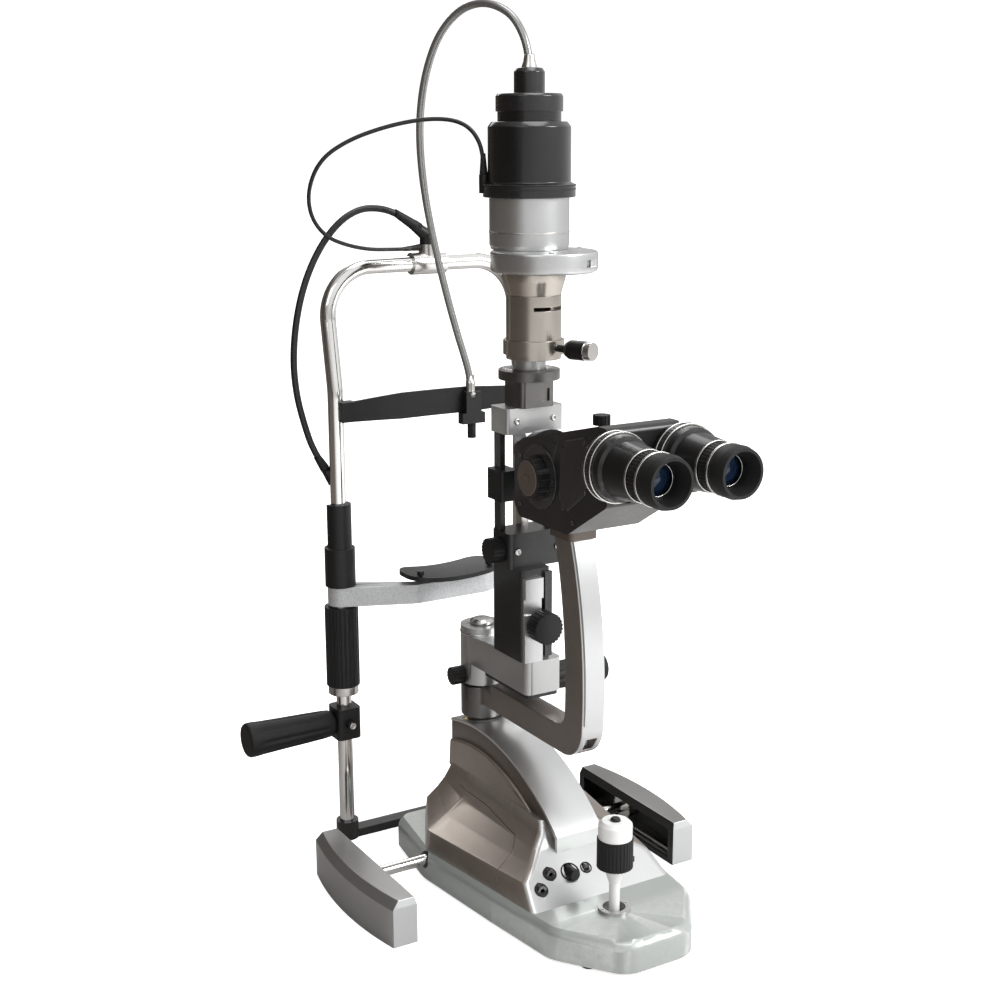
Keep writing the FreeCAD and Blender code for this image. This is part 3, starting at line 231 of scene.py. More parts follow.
MAT = {
    "chrome": surface("chrome", (0.78, 0.775, 0.76), 0.1, 1.0, 1500, 0.00001, 0.05),
    "black_paint": surface("black_paint", (0.0065, 0.0065, 0.007), 0.3, 0.0, 2600, 0.00005, 0.25, 0.15, 0.4,
                           worn=(0.1, 0.1, 0.1)),
    "black_gloss": surface("black_gloss", (0.006, 0.006, 0.0065), 0.2, 0.0, 2600, 0.00002, 0.2, 0.4, 0.5,
                           worn=(0.07, 0.07, 0.07)),
    "black_plastic": surface("black_plastic", (0.008, 0.008, 0.0085), 0.42, 0.0, 2200, 0.00006, 0.25,
                             specular=0.35),
    "black_rubber": surface("black_rubber", (0.009, 0.009, 0.009), 0.55, 0.0, 1800, 0.0001, 0.25, 0.0, 0.3),
    "taupe": surface("taupe", (0.36, 0.315, 0.28), 0.33, 0.75, 2400, 0.000012, 0.07, 0.12,
                     worn=(0.5, 0.46, 0.42)),
    "satin_column": surface("satin_column", (0.47, 0.435, 0.39), 0.24, 0.95, 2400, 0.000006, 0.05, 0.1),
    "rail_end": surface("rail_end", (0.55, 0.56, 0.565), 0.3, 0.6, 1500, 0.00001, 0.04, 0.15),
    "taupe_dark": surface("taupe_dark", (0.13, 0.105, 0.09), 0.38, 0.5, 2400, 0.00002, 0.1, 0.1),
    # The C-arm's darkened taupe: partly the arm's own colour, partly painted shade on its side away from the
    # key light.
    "arm_side_shaded": surface("arm_side_shaded", (0.2, 0.175, 0.16), 0.36, 0.6, 2400, 0.000015, 0.08, 0.1,
                        worn=(0.4, 0.37, 0.34)),
    "silver": surface("silver", (0.56, 0.565, 0.565), 0.3, 0.9, 2600, 0.000004, 0.03, 0.05),
    "grey_green": surface("grey_green", (0.37, 0.395, 0.38), 0.3, 0.35, 1500, 0.00001, 0.03, 0.15,
                          worn=(0.6, 0.62, 0.6)),
    "rail_grey": surface("rail_grey", (0.255, 0.25, 0.245), 0.3, 0.65, 1500, 0.00002, 0.05, 0.15,
                         worn=(0.75, 0.75, 0.75)),
    "light_grey": surface("light_grey", (0.46, 0.465, 0.46), 0.3, 0.75, 2000, 0.00001, 0.05, 0.1),
    "speckled": surface("speckled", (0.55, 0.56, 0.57), 0.4, 0.3, 1100, 0.00012, 0.06, 0.1, speckle=0.45),
    "white_plastic": surface("white_plastic", (0.8, 0.8, 0.79), 0.3, 0.0, 1800, 0.00004, 0.04, 0.2),
    "steel": brushed("steel", (0.6, 0.59, 0.57), 0.24, "z"),
    "steel_x": brushed("steel_x", (0.62, 0.61, 0.59), 0.22, "x"),
    "dark_steel": brushed("dark_steel", (0.16, 0.155, 0.15), 0.3, "x"),
    "brass": surface("brass", (0.6, 0.45, 0.2), 0.3, 1.0, 1500, 0.00003, 0.1),
    "lens": glass("lens", (0.012, 0.03, 0.07), 0.03, 0.7, 0.0, 0.25),
    "clear_lens": glass("clear_lens", (0.6, 0.66, 0.72), 0.02, 0.2, 0.6),
    "bulb_glass": glass("bulb_glass", (0.8, 0.82, 0.84), 0.03, 0.1),
    "mirror": surface("mirror", (0.9, 0.9, 0.92), 0.03, 1.0, 900, 0.000002, 0.02),
    "conduit": surface("conduit", (0.3, 0.3, 0.295), 0.27, 0.75, 1600, 0.00002, 0.08, 0.1),
    "cable": surface("cable", (0.007, 0.007, 0.0075), 0.4, 0.0, 2000, 0.00006, 0.2),
}


# ---------------------------------------------------------------- mesh helpers


def link(obj):
    bpy.context.scene.collection.objects.link(obj)
    return obj


def new_piece(name, verts, faces):
    data = bpy.data.meshes.new(name)
    data.from_pydata(verts, [], faces)
    data.update()
    return link(bpy.data.objects.new(name, data))


def walls(rows, count):
    """Faces that join each ring of count points to the next one."""
    faces = []
    for k in range(rows - 1):
        for i in range(count):
            j = (i + 1) % count
            faces.append((k * count + i, k * count + j, (k + 1) * count + j, (k + 1) * count + i))
    return faces


def caps(rows, count):
    """The two faces that close the first and the last ring."""
    return [tuple(range(count - 1, -1, -1)), tuple((rows - 1) * count + i for i in range(count))]


def dress(obj, width=0.0004, segments=2):
    """Welds the mesh's seams, bevels its sharp edges and smooths it by angle."""
    obj.data.polygons.foreach_set("use_smooth", [True] * len(obj.data.polygons))
    weld = obj.modifiers.new("weld", "WELD")
    weld.merge_threshold = WELD_GAP
    if width:
        bevel = obj.modifiers.new("bevel", "BEVEL")
        bevel.width = width
        bevel.segments = segments
        bevel.limit_method = "ANGLE"
        bevel.angle_limit = math.radians(SHARP_ANGLE)
        bevel.use_clamp_overlap = True
    normals = obj.modifiers.new("normals", "WEIGHTED_NORMAL")
    normals.keep_sharp = False


def finish_mesh(obj, material, body, width=0.0004, segments=2):
    """Bevelled edges, smooth faces, a material and the body it rides on."""
    obj.data.materials.clear()
    obj.data.materials.append(MAT[material])
    dress(obj, width, segments)
    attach(obj, body)


def islands(node):
    """Copies of a CAD node's separate solids."""
    source = NODES[node]
    mesh = bmesh.new()
    mesh.from_mesh(source.data)
    mesh.transform(source.matrix_world)
    bmesh.ops.remove_doubles(mesh, verts=mesh.verts, dist=WELD_GAP)
    seen = set()
    parts = []
    for start in mesh.verts:
        if start in seen:
            continue
        stack = [start]
        group = []
        seen.add(start)
        while stack:
            vert = stack.pop()
            group.append(vert)
            for edge in vert.link_edges:
                other = edge.other_vert(vert)
                if other not in seen:
                    seen.add(other)
                    stack.append(other)
        parts.append(group)
    pieces = []
    for group in parts:
        index = {vert: i for i, vert in enumerate(group)}
        faces = {}
        for vert in group:
            for face in vert.link_faces:
                faces[face.index] = face
        pieces.append(new_piece(node + "_piece", [v.co[:] for v in group],
                                [[index[v] for v in faces[i].verts] for i in sorted(faces)]))
    mesh.free()
    return pieces


def middle(obj):
    """The middle of a mesh's box."""
    corners = [v.co for v in obj.data.vertices]
    low = Vector([min(c[i] for c in corners) for i in range(3)])
    high = Vector([max(c[i] for c in corners) for i in range(3)])
    return (low + high) / 2


def in_mm(point):
    """A point of the row frame in the CAD's millimetres, the reverse of at()."""
    return (point - SHIFT) / MM


def split(node, body, choose, width=0.0004):
    """Replaces a CAD node by its solids, each named and given a material by choose(middle in CAD mm)."""
    for piece in islands(node):
        name, material = choose(in_mm(middle(piece)))
        piece.name = name
        finish_mesh(piece, material, body, width)
        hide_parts(node)


def paint(node, body, name, materials, choose, width=0.0004, segments=2):
    """Replaces a CAD node by a copy: choose(middle, normal) gives the place of each face's material."""
    source = NODES[node]
    data = source.data.copy()
    data.transform(source.matrix_world)
    piece = link(bpy.data.objects.new(name, data))
    data.materials.clear()
    for material in materials:
        data.materials.append(MAT[material])
    for face in data.polygons:
        face.material_index = choose(in_mm(face.center), face.normal)
    dress(piece, width, segments)
    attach(piece, body)
    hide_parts(node)


def carry(node, material, width):
    """A CAD node that stays, with a better material and softened edges."""
    obj = NODES[node]
    obj.data.materials.clear()
    obj.data.materials.append(MAT[material])
    dress(obj, width)


def lathe(name, centre, axis, profile, material, body, slot, steps=48, closed=True):
    """A turned detail: (height, radius) pairs in mm about an axis. One that isn't closed is a ring."""
    turn = Vector(axis).normalized().to_track_quat("Z", "Y").to_matrix()
    verts = []
    for h, r in profile:
        for i in range(steps):
            a = 2 * math.pi * i / steps
            verts.append((at(*centre) + turn @ (Vector((r * math.cos(a), r * math.sin(a), h)) * MM))[:])
    rows = len(profile)
    faces = walls(rows, steps)
    if closed:
        faces += caps(rows, steps)
    else:
        last = (rows - 1) * steps
        faces += [(last + i, last + (i + 1) % steps, (i + 1) % steps, i) for i in range(steps)]
    piece = new_piece(name, verts, faces)
    finish_mesh(piece, material, body, 0)
    return piece


def screw(name, centre, axis, r, body, slot="brushed_metal", material="steel", height=2.0):
    """A socket-head screw of radius r: a rounded head with a sunk round socket."""
    steps = 24
    piece = lathe(name, centre, axis,
                  [(0, r), (height * 0.7, r), (height * 0.9, r * 0.94), (height, r * 0.82)],
                  material, body, slot, steps)
    mesh = bmesh.new()
    mesh.from_mesh(piece.data)
    mesh.faces.ensure_lookup_table()
    top = mesh.faces[-1]
    bmesh.ops.inset_region(mesh, faces=[top], thickness=r * 0.36 * MM, use_even_offset=True)
    mesh.faces.ensure_lookup_table()
    outward = Vector(axis).normalized()
    push = outward * (-height * 0.55 * MM)
    inner = [f for f in mesh.faces if len(f.verts) == steps and f.normal.dot(outward) > 0.9]
    sunk = bmesh.ops.extrude_face_region(mesh, geom=inner)
    bmesh.ops.delete(mesh, geom=inner, context="FACES_ONLY")
    bmesh.ops.translate(mesh, verts=[v for v in sunk["geom"] if isinstance(v, bmesh.types.BMVert)], vec=push)
    mesh.to_mesh(piece.data)
    mesh.free()


# ---------------------------------------------------------------- cords


def spline_cord(name, points, diameter, material):
    """A round cord along a smooth curve that points in the CAD's millimetres steer."""
    curve = bpy.data.curves.new(name, "CURVE")
    curve.dimensions = "3D"
    curve.bevel_depth = diameter / 2
    curve.bevel_resolution = 6
    curve.resolution_u = 12
    curve.use_fill_caps = True
    spline = curve.splines.new("NURBS")
    spline.points.add(len(points) - 1)
    for point, place in zip(spline.points, points):
        point.co = (*at(*place), 1)
    spline.order_u = 3
    spline.use_endpoint_u = True
    curve.materials.append(MAT[material])
    return link(bpy.data.objects.new(name, curve))


def make_cords():
    """The grey conduit, the black power cable and the thin lead, on the CAD's routes."""
    conduit = [(15, -86, 700), (15.4, -85.4, 718), (9.5, -74, 743.5), (0, -58, 754.5), (-8, -42, 756.5),
               (-16.5, -26, 751), (-25.5, -10, 734), (-29, 5, 709.5), (-29, 18, 681), (-25, 30, 648),
               (-17, 38, 605.5), (-5, 44, 561.5), (8, 48, 519), (20.5, 50, 479), (31.5, 51, 448),
               (36, 51, 430.5), (36, 51, 413)]
    piece = spline_cord("conduit", conduit, 0.0065, "conduit")
    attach(piece, "headrest")
    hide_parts("lamp_conduit")
    feed = [(-14.8, 73, 576.2), (-28, 73, 584.5), (-46, 74, 589), (-64, 74, 588), (-84, 74, 577),
            (-103, 75, 554), (-118, 75, 524), (-127, 75, 490), (-130, 76, 455), (-127, 77, 425),
            (-120, 78.5, 399), (-112.6, 78.7, 375.7), (-105.5, 73.2, 361.2)]
    piece = spline_cord("power_cable_run", feed, 0.006, "cable")
    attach(piece, "headrest")
    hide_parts("power_cable")
    thin = [(-4.2, 72.5, 552.5), (-18, 71.5, 551.5), (-36, 69, 552), (-58, 66, 553), (-82, 61, 558),
            (-105, 54, 566.5), (-122, 46, 584), (-128, 37, 607), (-121, 26, 632), (-101, 12, 648),
            (-74, -6, 659), (-50, -23, 664.5), (-32, -38, 664.5), (-22, -50, 659), (-17.5, -60, 648),
            (-17.2, -66.6, 634), (-16.8, -67.1, 621)]
    piece = spline_cord("lamp_lead_run", thin, 0.0035, "cable")
    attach(piece, "headrest")
    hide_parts("lamp_lead")


# ---------------------------------------------------------------- carried-over nodes


CARRIED = {
    "frame_tube": "chrome", "forehead_band": "black_rubber",
    "chin_spindle": "steel", "gear_racks": "steel_x", "chin_height_knob": "black_plastic",
    "axle_rod": "chrome", "track_wheel_left": "steel_x", "track_wheel_right": "steel_x",
    "base_plate": "grey_green", "saddle_cover": "silver", "guide_bushes": "brass",
    "brightness_knob": "black_plastic", "joystick_gimbal": "steel", "joystick_stem": "white_plastic",
    "joystick_button": "black_plastic", "lift_column": "steel", "scope_body": "black_paint",
    "magnification_drum": "black_paint", "breath_shield_knob": "black_plastic", "lamp_arm": "light_grey",
    "arm_lock_knob": "black_plastic", "slit_width_knob": "black_plastic",
    "mirror_lock_knob": "black_plastic", "aperture_dial": "steel", "mirror": "mirror",
    "lens_block": "dark_steel", "dial_housing": "silver", "condenser_barrel": "silver",
    "lamp_socket": "white_plastic", "bulb": "bulb_glass", "lamp_house": "black_gloss",
    "projection_lenses": "clear_lens", "cross_bar": "black_paint", "clamp_screws": "black_plastic",
    "post_clamps": "black_plastic", "chin_cup": "black_plastic", "pivot_post": "steel",
}


def carry_nodes():
    """Knobs, drums and dials have fine grooves, so their bevels are small, as are the prism boxes'."""
    fine, plain = 0.00015, 0.0005
    for node, material in CARRIED.items():
        grooved = "knob" in node or "drum" in node or "dial" in node
        carry(node, material, fine if grooved else plain)
    for side in ("left", "right"):
        carry("prism_box_" + side, "black_paint", fine)


def split_nodes():
    """The nodes that hold several pieces or finishes."""
    def cable_fitting(c):
        if c.z < 400:
            return "post_gland", "black_plastic"
        return ("angled_plug", "black_plastic") if c.z > 555 else ("top_tee", "steel_x")
    split("cable_fittings", "headrest", cable_fitting)
    split("joystick_grip", "grip", lambda c: ("stick_cap", "white_plastic") if c.z > 95
          else ("stick_grip", "black_rubber"), 0.0002)

    def base_fitting(c):
        if c.z < 10:
            return "glide_foot", "black_rubber"
        if c.z < 35:
            return "stick_collar", "light_grey"
        return ("indicator", "black_gloss") if c.x > BASE_X - 10 else ("socket", "dark_steel")
    split("base_fittings", "base", base_fitting, 0.0002)

    def arm_fitting(c):
        if c.x > BASE_X + 8:
            return "arm_screw", "black_plastic"
        return ("scope_rest", "taupe_dark") if c.z > 325 else ("arm_outer_trim", "silver")
    split("arm_fittings", "microscope", arm_fitting)
    split("objective", "microscope", lambda c: ("objective_glass", "lens") if c.y > -110.5
          else ("objective_mount", "black_paint"), 0.0002)
    for side in ("left", "right"):
        split("eyepiece_" + side, "eye_" + side, lambda c: ("eye_lens_" + side, "lens") if c.y > -311.5
              else ("eyepiece_cup_" + side, "black_rubber"), 0.0002)

    split("tower_cross_blocks", "lamp", lambda c: ("top_block", "light_grey") if c.z > 350
          else ("cross_block", "black_paint"), 0.0006)

    def bar_piece(c):
        if abs(c.x - BASE_X) < 10:
            return ("mirror_holder", "dark_steel") if c.z > 375 else ("mirror_post", "steel")
        if c.z < 364.5 and c.x < BASE_X - 21 and c.y < -80:
            return "filter_clamp", "black_plastic"
        return "tower_bar", "black_paint"
    split("tower_bars", "lamp", bar_piece)

    def cap_piece(c):
        if c.z < 640:
            return "lead_connector", "black_plastic"
        return ("cap_stem", "black_gloss") if c.z > 685 else ("cap_ring", "black_gloss")
    split("lamp_cap", "lamp", cap_piece)


def paint_nodes():
    """The nodes whose one solid carries several finishes."""
    def rail(c, n):
        side = 1 if c.x > 0 else -1
        across = side * c.x
        # The channel's faces, but not the roof's upper side, and the wall that faces the instrument. They
        # are black: partly the black plastic of the cover's mouth, partly painted shade inside the opening.
        channel = across < 152 and c.z < 36.5 and -146 < c.y < 4 and not (n.z > 0.5 and c.z > 36.4)
        inner_wall = across < 133.5 and side * n.x < -0.5
        if channel or inner_wall:
            return 1
        return 2 if n.y < -0.6 else 0
    paint("rail_covers", "headrest", "rails", ["rail_grey", "black_plastic", "rail_end"], rail, 0.0028, 4)

    def hump(c, n):
        # The housing's walls beside the saddle take taupe_dark: painted shade under the saddle cover's
        # overhanging rim.
        saddle_wall_shade = abs(c.x - BASE_X) < 22.6 and abs(n.x) > 0.9 and c.z > 56
        if saddle_wall_shade:
            return 2
        return 1 if n.y < -0.35 and c.y < -140 else 0
    paint("hump_housing", "base", "housing", ["taupe", "silver", "taupe_dark"], hump, 0.0008, 3)

    def chin(c, n):
        return 1 if c.x < -81 and c.z > 250.3 else 0
    paint("chin_bar", "chin_rest", "chin_beam", ["speckled", "black_plastic"], chin, 0.0006, 3)

    def arm(c, n):
        # The hub ring below the pivot takes dark_steel as painted shade. The other faces, all but the silver
        # front, take the darkened taupe, partly painted shade.
        if c.y > -26 and c.z < 157:
            return 2
        return 1 if n.y < -0.5 and c.y < -160 else 0
    paint("scope_arm", "microscope", "c_arm", ["arm_side_shaded", "silver", "dark_steel"], arm, 0.0012, 3)

    def tower(c, n):
        return 1 if c.z > 205 and c.y < -108.3 and c.x < BASE_X else 0
    paint("tower_column", "lamp", "tower_foot", ["black_paint", "silver"], tower, 0.0006, 3)

    def column(c, n):
        if c.z < 461:
            return 1
        return 2 if c.z < 470.5 else 0
    paint("projection_column", "lamp", "upper_column", ["satin_column", "dark_steel", "light_grey"], column)

    def lever(c, n):
        lever_y = -93
        along = (c.x - BASE_X) * 0.35 - (c.y - lever_y) * 0.937
        if along < 27:
            return 0
        return 2 if along > 54 else 1
    paint("slit_lever", "slit_turn", "slit_lever_piece", ["satin_column", "black_plastic", "steel"], lever,
          0.0003)


# ---------------------------------------------------------------- added details


def fluted_grip(name, side):
    """A patient's handle: a tapered rubber grip with flutes along it and a rounded end."""
    steps = 96
    flutes, flute_depth = 8, 1.4
    start_x, axis_y, axis_z = 108.5, 62, 118
    # Each row is a place along the grip, its radius and its share of the flutes' depth.
    profile = [(0, 9, 0), (1, 10.8, 0), (4, 12.4, 0), (9, 12.9, 0.2), (14, 13.2, 1), (30, 13.8, 1),
               (50, 14.4, 1), (68, 15.1, 1), (75, 15.5, 0.4), (79, 15.9, 0), (84, 15.8, 0), (86, 14.6, 0),
               (86.4, 12, 0)]
    verts = []
    for h, r, share in profile:
        for i in range(steps):
            a = 2 * math.pi * i / steps
            wave = r - flute_depth * share * max(0.0, math.cos(flutes * a)) ** 2
            verts.append(at(side * (start_x + h), axis_y + wave * math.cos(a),
                            axis_z + side * wave * math.sin(a))[:])
    rows = len(profile)
    piece = new_piece(name, verts, walls(rows, steps) + caps(rows, steps))
    finish_mesh(piece, "black_rubber", "headrest", 0)
    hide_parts("handle_grips")


def saddle_arc(shrink, start_y, end_y, steps=24):
    """Points (y, z) on the saddle's curve, moved in by shrink, from one y to another."""
    middle_y, middle_z, radius = -34.2, -67.4, 191.0
    points = []
    for i in range(steps + 1):
        y = start_y + (end_y - start_y) * i / steps
        points.append((y, middle_z + math.sqrt((radius - shrink) ** 2 - (y - middle_y) ** 2)))
    return points


def saddle_cheek(name, side):
    """The housing's flank that climbs each side of the saddle and leaves a band of painted shade, the
    taupe_dark wall, under its rim.
    """
    band, back_y, front_y = 19, 15.5, -140
    outline = saddle_arc(band, back_y, front_y)
    outline += [(-146, 74), (-128, 72), (back_y, 72)]
    # Each layer is how far its upper rim is drawn in, its distance from the centre plane, and how much
    # further out its foot lies.
    layers = ((0, 21.6, 0), (0, 23.2, 1.2), (1.5, 24.6, 1.2))
    verts = []
    for inset, dx, flare in layers:
        for y, z in outline:
            low = z < 75
            verts.append(at(BASE_X + side * (dx + (flare if low else 0)), y, z - (0 if low else inset))[:])
    rows = len(layers)
    piece = new_piece(name, verts, walls(rows, len(outline)) + caps(rows, len(outline)))
    mesh = bmesh.new()
    mesh.from_mesh(piece.data)
    bmesh.ops.recalc_face_normals(mesh, faces=mesh.faces)
    mesh.to_mesh(piece.data)
    mesh.free()
    finish_mesh(piece, "taupe", "base", 0.0006, 3)


def side_seams():
    """A fine seam that outlines the removable panel on each side of the housing."""
    source = NODES["hump_housing"]
    mesh = bmesh.new()
    mesh.from_mesh(source.data)
    mesh.transform(source.matrix_world)
    tree = BVHTree.FromBMesh(mesh)
    corners = [(-20, 66), (-70, 66), (-128, 62), (-142, 55), (-147, 46), (-150, 36)]
    steps, outside, seam_radius = 8, 150, 0.00055
    for side, name in SIDES:
        line = []
        for (y0, z0), (y1, z1) in zip(corners, corners[1:]):
            for i in range(steps):
                t = i / steps
                line.append((y0 + (y1 - y0) * t, z0 + (z1 - z0) * t))
        line.append(corners[-1])
        curve = bpy.data.curves.new("panel_seam_" + name, "CURVE")
        curve.dimensions = "3D"
        curve.bevel_depth = seam_radius
        curve.bevel_resolution = 3
        spline = curve.splines.new("POLY")
        places = []
        for y, z in line:
            hit = tree.ray_cast(at(BASE_X + side * outside, y, z), Vector((-side, 0, 0)))[0]
            if hit is not None:
                places.append(hit)
        spline.points.add(len(places) - 1)
        for point, place in zip(spline.points, places):
            point.co = (*place, 1)
        curve.materials.append(MAT["taupe_dark"])
        piece = link(bpy.data.objects.new("panel_seam_" + name, curve))
        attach(piece, "base")
    mesh.free()


def front_bezels():
    """A rim round each hole of the housing's sloping front, lying on the slope."""
    slope, foot_y, foot_z = 1.3, -204, 29
    holes = (("socket_a", -52, 40, 6.2, 2.4), ("socket_b", -38, 47, 6.2, 2.4), ("knob", -19, 45, 8.6, 7.6),
             ("lamp", -3, 45, 5.2, 4.4))
    for name, dx, z, outer, inner in holes:
        y = foot_y + (z - foot_z) * slope
        lathe("front_bezel_" + name, (BASE_X + dx, y, z), (0, -1, slope),
              [(-1.5, outer), (0.5, outer), (1.0, outer - 0.5), (1.0, inner + 0.4), (0.6, inner),
               (-1.5, inner)], "black_plastic", "base", "black_plastic", 40, closed=False)


def flank_cover(name, face, side):
    """A thin cover with rounded corners on one flank of the microscope's body."""
    outline = [Vector(p) for p in ((-186, 366), (-196, 362), (-226, 384), (-226, 428), (-190, 419))]
    centre = sum(outline, Vector((0, 0))) / len(outline)
    layers = ((-0.3, 0.0), (0.9, 0.0), (1.3, 1.0))
    verts = []
    for dx, shrink in layers:
        for corner in outline:
            y, z = corner - (corner - centre).normalized() * shrink
            verts.append(at(face + side * dx, y, z)[:])
    rows = len(layers)
    piece = new_piece("flank_cover_" + name, verts, walls(rows, len(outline)) + caps(rows, len(outline)))
    mesh = bmesh.new()
    mesh.from_mesh(piece.data)
    corner_edges = [e for e in mesh.edges if abs(e.verts[0].co.x - e.verts[1].co.x) > 0.0003]
    bmesh.ops.bevel(mesh, geom=corner_edges, offset=0.004, segments=4, affect="EDGES")
    bmesh.ops.recalc_face_normals(mesh, faces=mesh.faces)
    mesh.to_mesh(piece.data)
    mesh.free()
    finish_mesh(piece, "black_gloss", "microscope", 0.0002)


def body_trim():
    """Drum collars, cover plates and their screws that dress the microscope's flanks."""
    half_width = 34
    for side, name in SIDES:
        face = BASE_X + side * half_width
        lathe("drum_collar_" + name, (face, DRUM_Y, DRUM_Z), (side, 0, 0),
              [(-0.5, 26.5), (0.8, 26.5), (1.2, 26.0), (1.2, 18.2), (-0.5, 18.2)],
              "black_gloss", "microscope", "black_paint", closed=False)
        for i, (y, z) in enumerate(((-127, 356), (-127, 396), (-205, 420), (-232, 392), (-205, 356))):
            screw("flank_screw_%s_%d" % (name, i), (face, y, z), (side, 0, 0), 2.0, "microscope",
                  "black_paint", "dark_steel", 0.9)
        flank_cover(name, face, side)


def strain_reliefs():
    """The tapered sleeves and ferrules at both ends of each cord."""
    rubber = ("black_rubber", "headrest", "black_rubber")
    lathe("power_relief_top", (-9, 73, 572.6), (-0.82, 0, 0.5),
          [(-6, 5.0), (0, 4.9), (3, 4.5), (7, 4.3), (11, 4.0), (15, 3.8), (19, 3.5), (23, 3.2)], *rubber)
    lathe("power_relief_post", (-104.5, 72.2, 359), (-0.42, 0.34, 0.84),
          [(-4, 4.2), (0, 4.4), (5, 4.0), (9, 3.6), (13, 3.2)], *rubber)
    lathe("conduit_ferrule_cap", (BASE_X, LAMP_Y, 701), UP,
          [(0, 6.6), (4, 6.4), (8, 5.0), (13, 4.2), (14, 3.4)], "steel", "lamp", "brushed_metal")
    lathe("conduit_ferrule_clamp", (36, 51, 415), UP,
          [(0, 5.6), (4, 5.6), (5, 4.6), (12, 4.4), (20, 3.6)], "steel", "headrest", "brushed_metal")
    lathe("lead_relief_lamp", (-17, -66.9, 619), (0.0, 0.05, 1),
          [(0, 3.6), (2, 3.4), (9, 2.7), (18, 2.0)], "black_rubber", "lamp", "black_rubber")
    lathe("lead_relief_tee", (-3.2, 72.5, 552.5), (-1, 0, -0.06),
          [(-2, 3.2), (2, 3.0), (9, 2.4), (17, 2.0)], *rubber)


def eyepiece_rings(side, name):
    """The bright rings round one eyepiece, and its drum's cap."""
    x = BASE_X + side * EYE_HALF
    for i, (y, r, t) in enumerate(((-257.2, 27.15, 1.0), (-264.2, 27.1, 1.0), (-298.5, 20.0, 1.6))):
        lathe("ocular_ring_%s_%d" % (name, i), (x, y, EYE_Z), TO_DOCTOR,
              [(0, r - 1.4), (0, r), (0.3, r + 0.35), (t - 0.3, r + 0.35), (t, r), (t, r - 1.4)],
              "steel", "ocular_" + name, "brushed_metal", closed=False)
    lathe("eye_ring_" + name, (x, -311, EYE_Z), TO_DOCTOR,
          [(0, 19.0), (0, 20.3), (0.3, 20.7), (1.7, 20.7), (2, 20.3), (2, 19.0)],
          "steel", "eye_" + name, "brushed_metal", closed=False)
    # The drum's end cap is dark bronze taupe: partly its own colour, partly a painted brownish sheen.
    lathe("drum_cap_" + name, (BASE_X + side * 45, DRUM_Y, DRUM_Z), (side, 0, 0),
          [(0, 14.5), (0.8, 14.2), (1.2, 13.0), (1.2, 4), (2.0, 3.6), (2.2, 0.5)],
          "taupe_dark", "drum", "black_plastic")


def glass_rings(side, name):
    """The two thin rings that hold one eyepiece's glass."""
    for i, (y, r) in enumerate(((-313.4, 12.6), (-310.5, 9.6))):
        lathe("glass_ring_%s_%d" % (name, i), (BASE_X + side * EYE_HALF, y, EYE_Z), TO_DOCTOR,
              [(0, r), (0.5, r - 0.1), (0.6, r - 0.7), (0.1, r - 0.8)],
              "steel", "eye_" + name, "brushed_metal", closed=False)


def tower_rings():
    """The lines, the band and the screws round the lamp's tower, and the ring on the pivot."""
    for i, z in enumerate((608, 611.2)):
        lathe("house_line_%d" % i, (BASE_X, LAMP_Y, z), UP,
              [(0, 37.6), (0, 38.35), (0.5, 38.5), (1, 38.35), (1, 37.6)],
              "black_plastic", "lamp", "black_paint", closed=False)
    lathe("barrel_band", (BASE_X, LAMP_Y, 573), UP,
          [(0, 32.6), (0, 33.2), (0.3, 33.35), (1.3, 33.35), (1.6, 33.2), (1.6, 32.6)],
          "steel", "lamp", "silver_paint", closed=False)
    lathe("pivot_ring", (BASE_X, -4, 205.5), UP,
          [(0, 19.5), (0, 20.2), (1, 20.5), (2, 20.2), (2, 19.5)],
          "steel", "lamp", "brushed_metal", closed=False)
    dial_y, dial_top, circle, first, step = -109, 560, 38, 2.2, 2.1
    for i in range(3):
        a = first + i * step
        screw("dial_screw_%d" % i, (BASE_X + circle * math.cos(a), dial_y + circle * math.sin(a), dial_top),
              UP, 2.0, "lamp", height=1.2)


def make_details():
    """Turned rings, screws, reliefs and covers that the CAD leaves plain."""
    strain_reliefs()
    for side, name in SIDES:
        eyepiece_rings(side, name)
        screw("post_screw_" + name, (side * 96.5, 44.6, 118), TO_DOCTOR, 3.2, "headrest")
        screw("block_screw_" + name, (BASE_X + side * 18, -96, 418), TO_DOCTOR, 2.6, "lamp", height=1.4)
        screw("cross_screw_" + name, (BASE_X + side * 20, -100, 306), TO_DOCTOR, 3.0, "lamp", height=1.6)
    for side, name in SIDES:
        fluted_grip("grip_" + name, side)
        saddle_cheek("saddle_cheek_" + name, side)
        glass_rings(side, name)
    side_seams()
    front_bezels()
    body_trim()
    tower_rings()


# ---------------------------------------------------------------- stage


def facing(tree, vector, direction, scale, offset):
    """How far a vector points in a direction, times scale, plus offset."""
    side = add(tree, "ShaderNodeVectorMath", operation="DOT_PRODUCT")
    side.inputs[1].default_value = direction
    tree.links.new(vector, side.inputs[0])
    lift = add(tree, "ShaderNodeMath", operation="MULTIPLY_ADD")
    lift.inputs[1].default_value = scale
    lift.inputs[2].default_value = offset
    tree.links.new(side.outputs["Value"], lift.inputs[0])
    return lift.outputs[0]


def camera_mix(tree, others, camera, output):
    """One shader for what the camera sees and another for every other ray."""
    path = tree.nodes.new("ShaderNodeLightPath")
    blend = tree.nodes.new("ShaderNodeMixShader")
    tree.links.new(path.outputs["Is Camera Ray"], blend.inputs["Fac"])
    tree.links.new(others, blend.inputs[1])
    tree.links.new(camera, blend.inputs[2])
    tree.links.new(blend.outputs[0], output.inputs["Surface"])


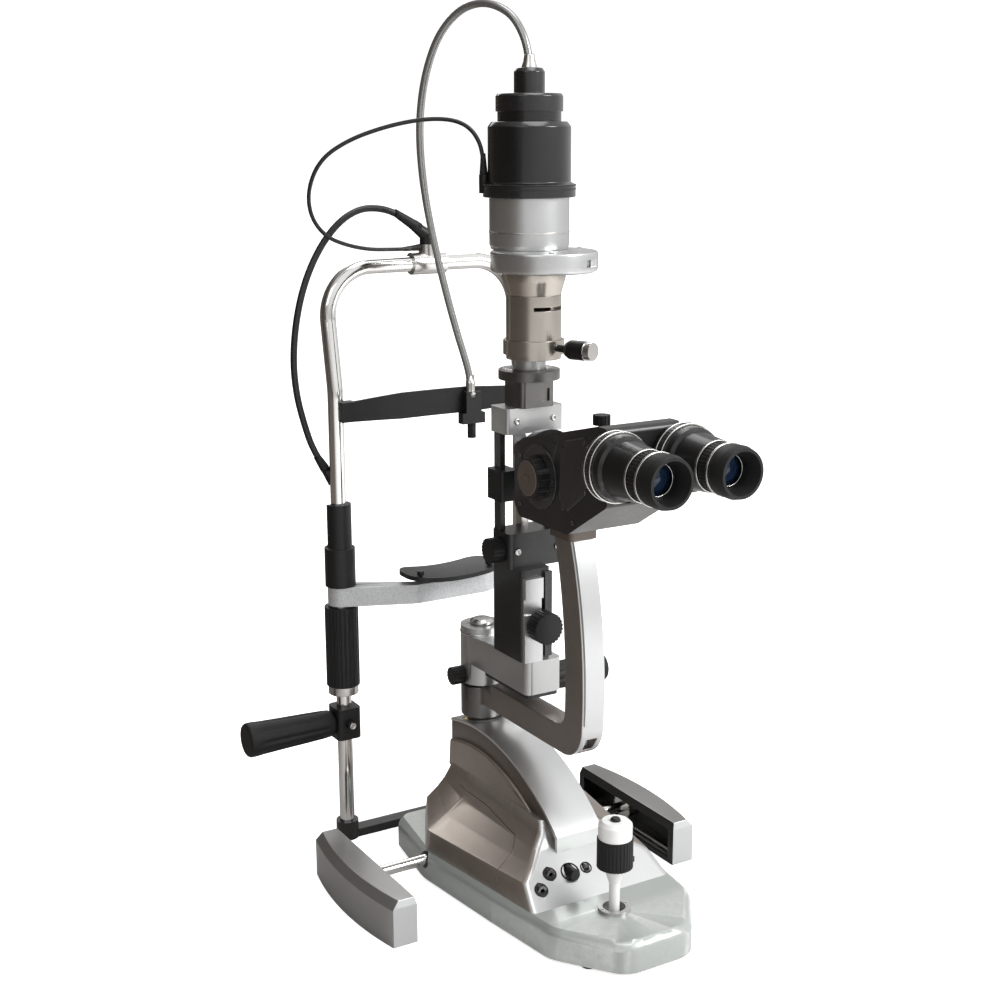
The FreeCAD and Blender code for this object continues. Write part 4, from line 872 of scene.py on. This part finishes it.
def make_world():
    """White to the camera; what the metal mirrors is a studio bright in front and warm dark behind."""
    world = bpy.data.worlds.new("studio")
    world.use_nodes = True
    tree = world.node_tree
    background = tree.nodes["Background"]
    seen = add(tree, "ShaderNodeBackground")
    seen.inputs["Color"].default_value = (1, 1, 1, 1)
    seen.inputs["Strength"].default_value = 1.1
    place = add(tree, "ShaderNodeTexCoord")
    bright_side = (0.62, -0.62, 0.48)
    lift = facing(tree, place.outputs["Generated"], bright_side, 0.5, 0.5)
    tone = ramp(tree, lift, (0.1, 0.085, 0.072), (1, 1, 1), 0.3, 0.8)
    tree.links.new(tone, background.inputs["Color"])
    background.inputs["Strength"].default_value = 1.0
    camera_mix(tree, background.outputs[0], seen.outputs[0], tree.nodes["World Output"])
    bpy.context.scene.world = world


def make_floor():
    """A plain pale floor, as light far off as near. What the metal mirrors of it is darker behind."""
    half = 30
    floor = new_piece("floor", [(-half, -half, 0), (half, -half, 0), (half, half, 0), (-half, half, 0)],
                      [(0, 1, 2, 3)])
    material, tree, shader = new_material("floor")
    clouds = noise(tree, coordinates(tree), 2.0)
    tree.links.new(ramp(tree, clouds, (0.9, 0.9, 0.9), (0.94, 0.94, 0.94)), shader.inputs["Base Color"])
    shader.inputs["Roughness"].default_value = 0.8
    shader.inputs["Emission Color"].default_value = (1, 1, 1, 1)
    shader.inputs["Emission Strength"].default_value = 0.75
    dull = add(tree, "ShaderNodeBsdfDiffuse")
    place = add(tree, "ShaderNodeTexCoord")
    bright_way = (0.16, -0.2, 0)
    shift = facing(tree, place.outputs["Object"], bright_way, 1.0, 0.5)
    tree.links.new(ramp(tree, shift, (0.16, 0.14, 0.125), (0.95, 0.95, 0.95), 0.36, 0.62),
                   dull.inputs["Color"])
    camera_mix(tree, dull.outputs[0], shader.outputs[0], tree.nodes["Material Output"])
    floor.data.materials.append(material)


def make_stage():
    """The floor, the world and soft lights: the key from the right of the camera."""
    make_floor()
    make_world()
    middle_of_object = (0, 0, 0.35)
    for name, place, size, power in (("key", (1.5, -2.0, 1.8), 1.2, 60), ("fill", (-1.9, -1.4, 1.6), 1.4, 8),
                                     ("rim", (0.6, 2.0, 2.0), 1.4, 16), ("top", (0.2, -0.3, 2.6), 1.2, 18)):
        light = bpy.data.lights.new(name, "AREA")
        light.size = size
        light.energy = power
        lamp = link(bpy.data.objects.new(name, light))
        lamp.location = place
        aim = Vector(middle_of_object) - lamp.location
        lamp.rotation_euler = aim.to_track_quat("-Z", "Y").to_euler()
    bpy.context.scene.view_settings.view_transform = "Standard"


make_camera()
make_cords()
carry_nodes()
split_nodes()
paint_nodes()
make_details()
make_stage()
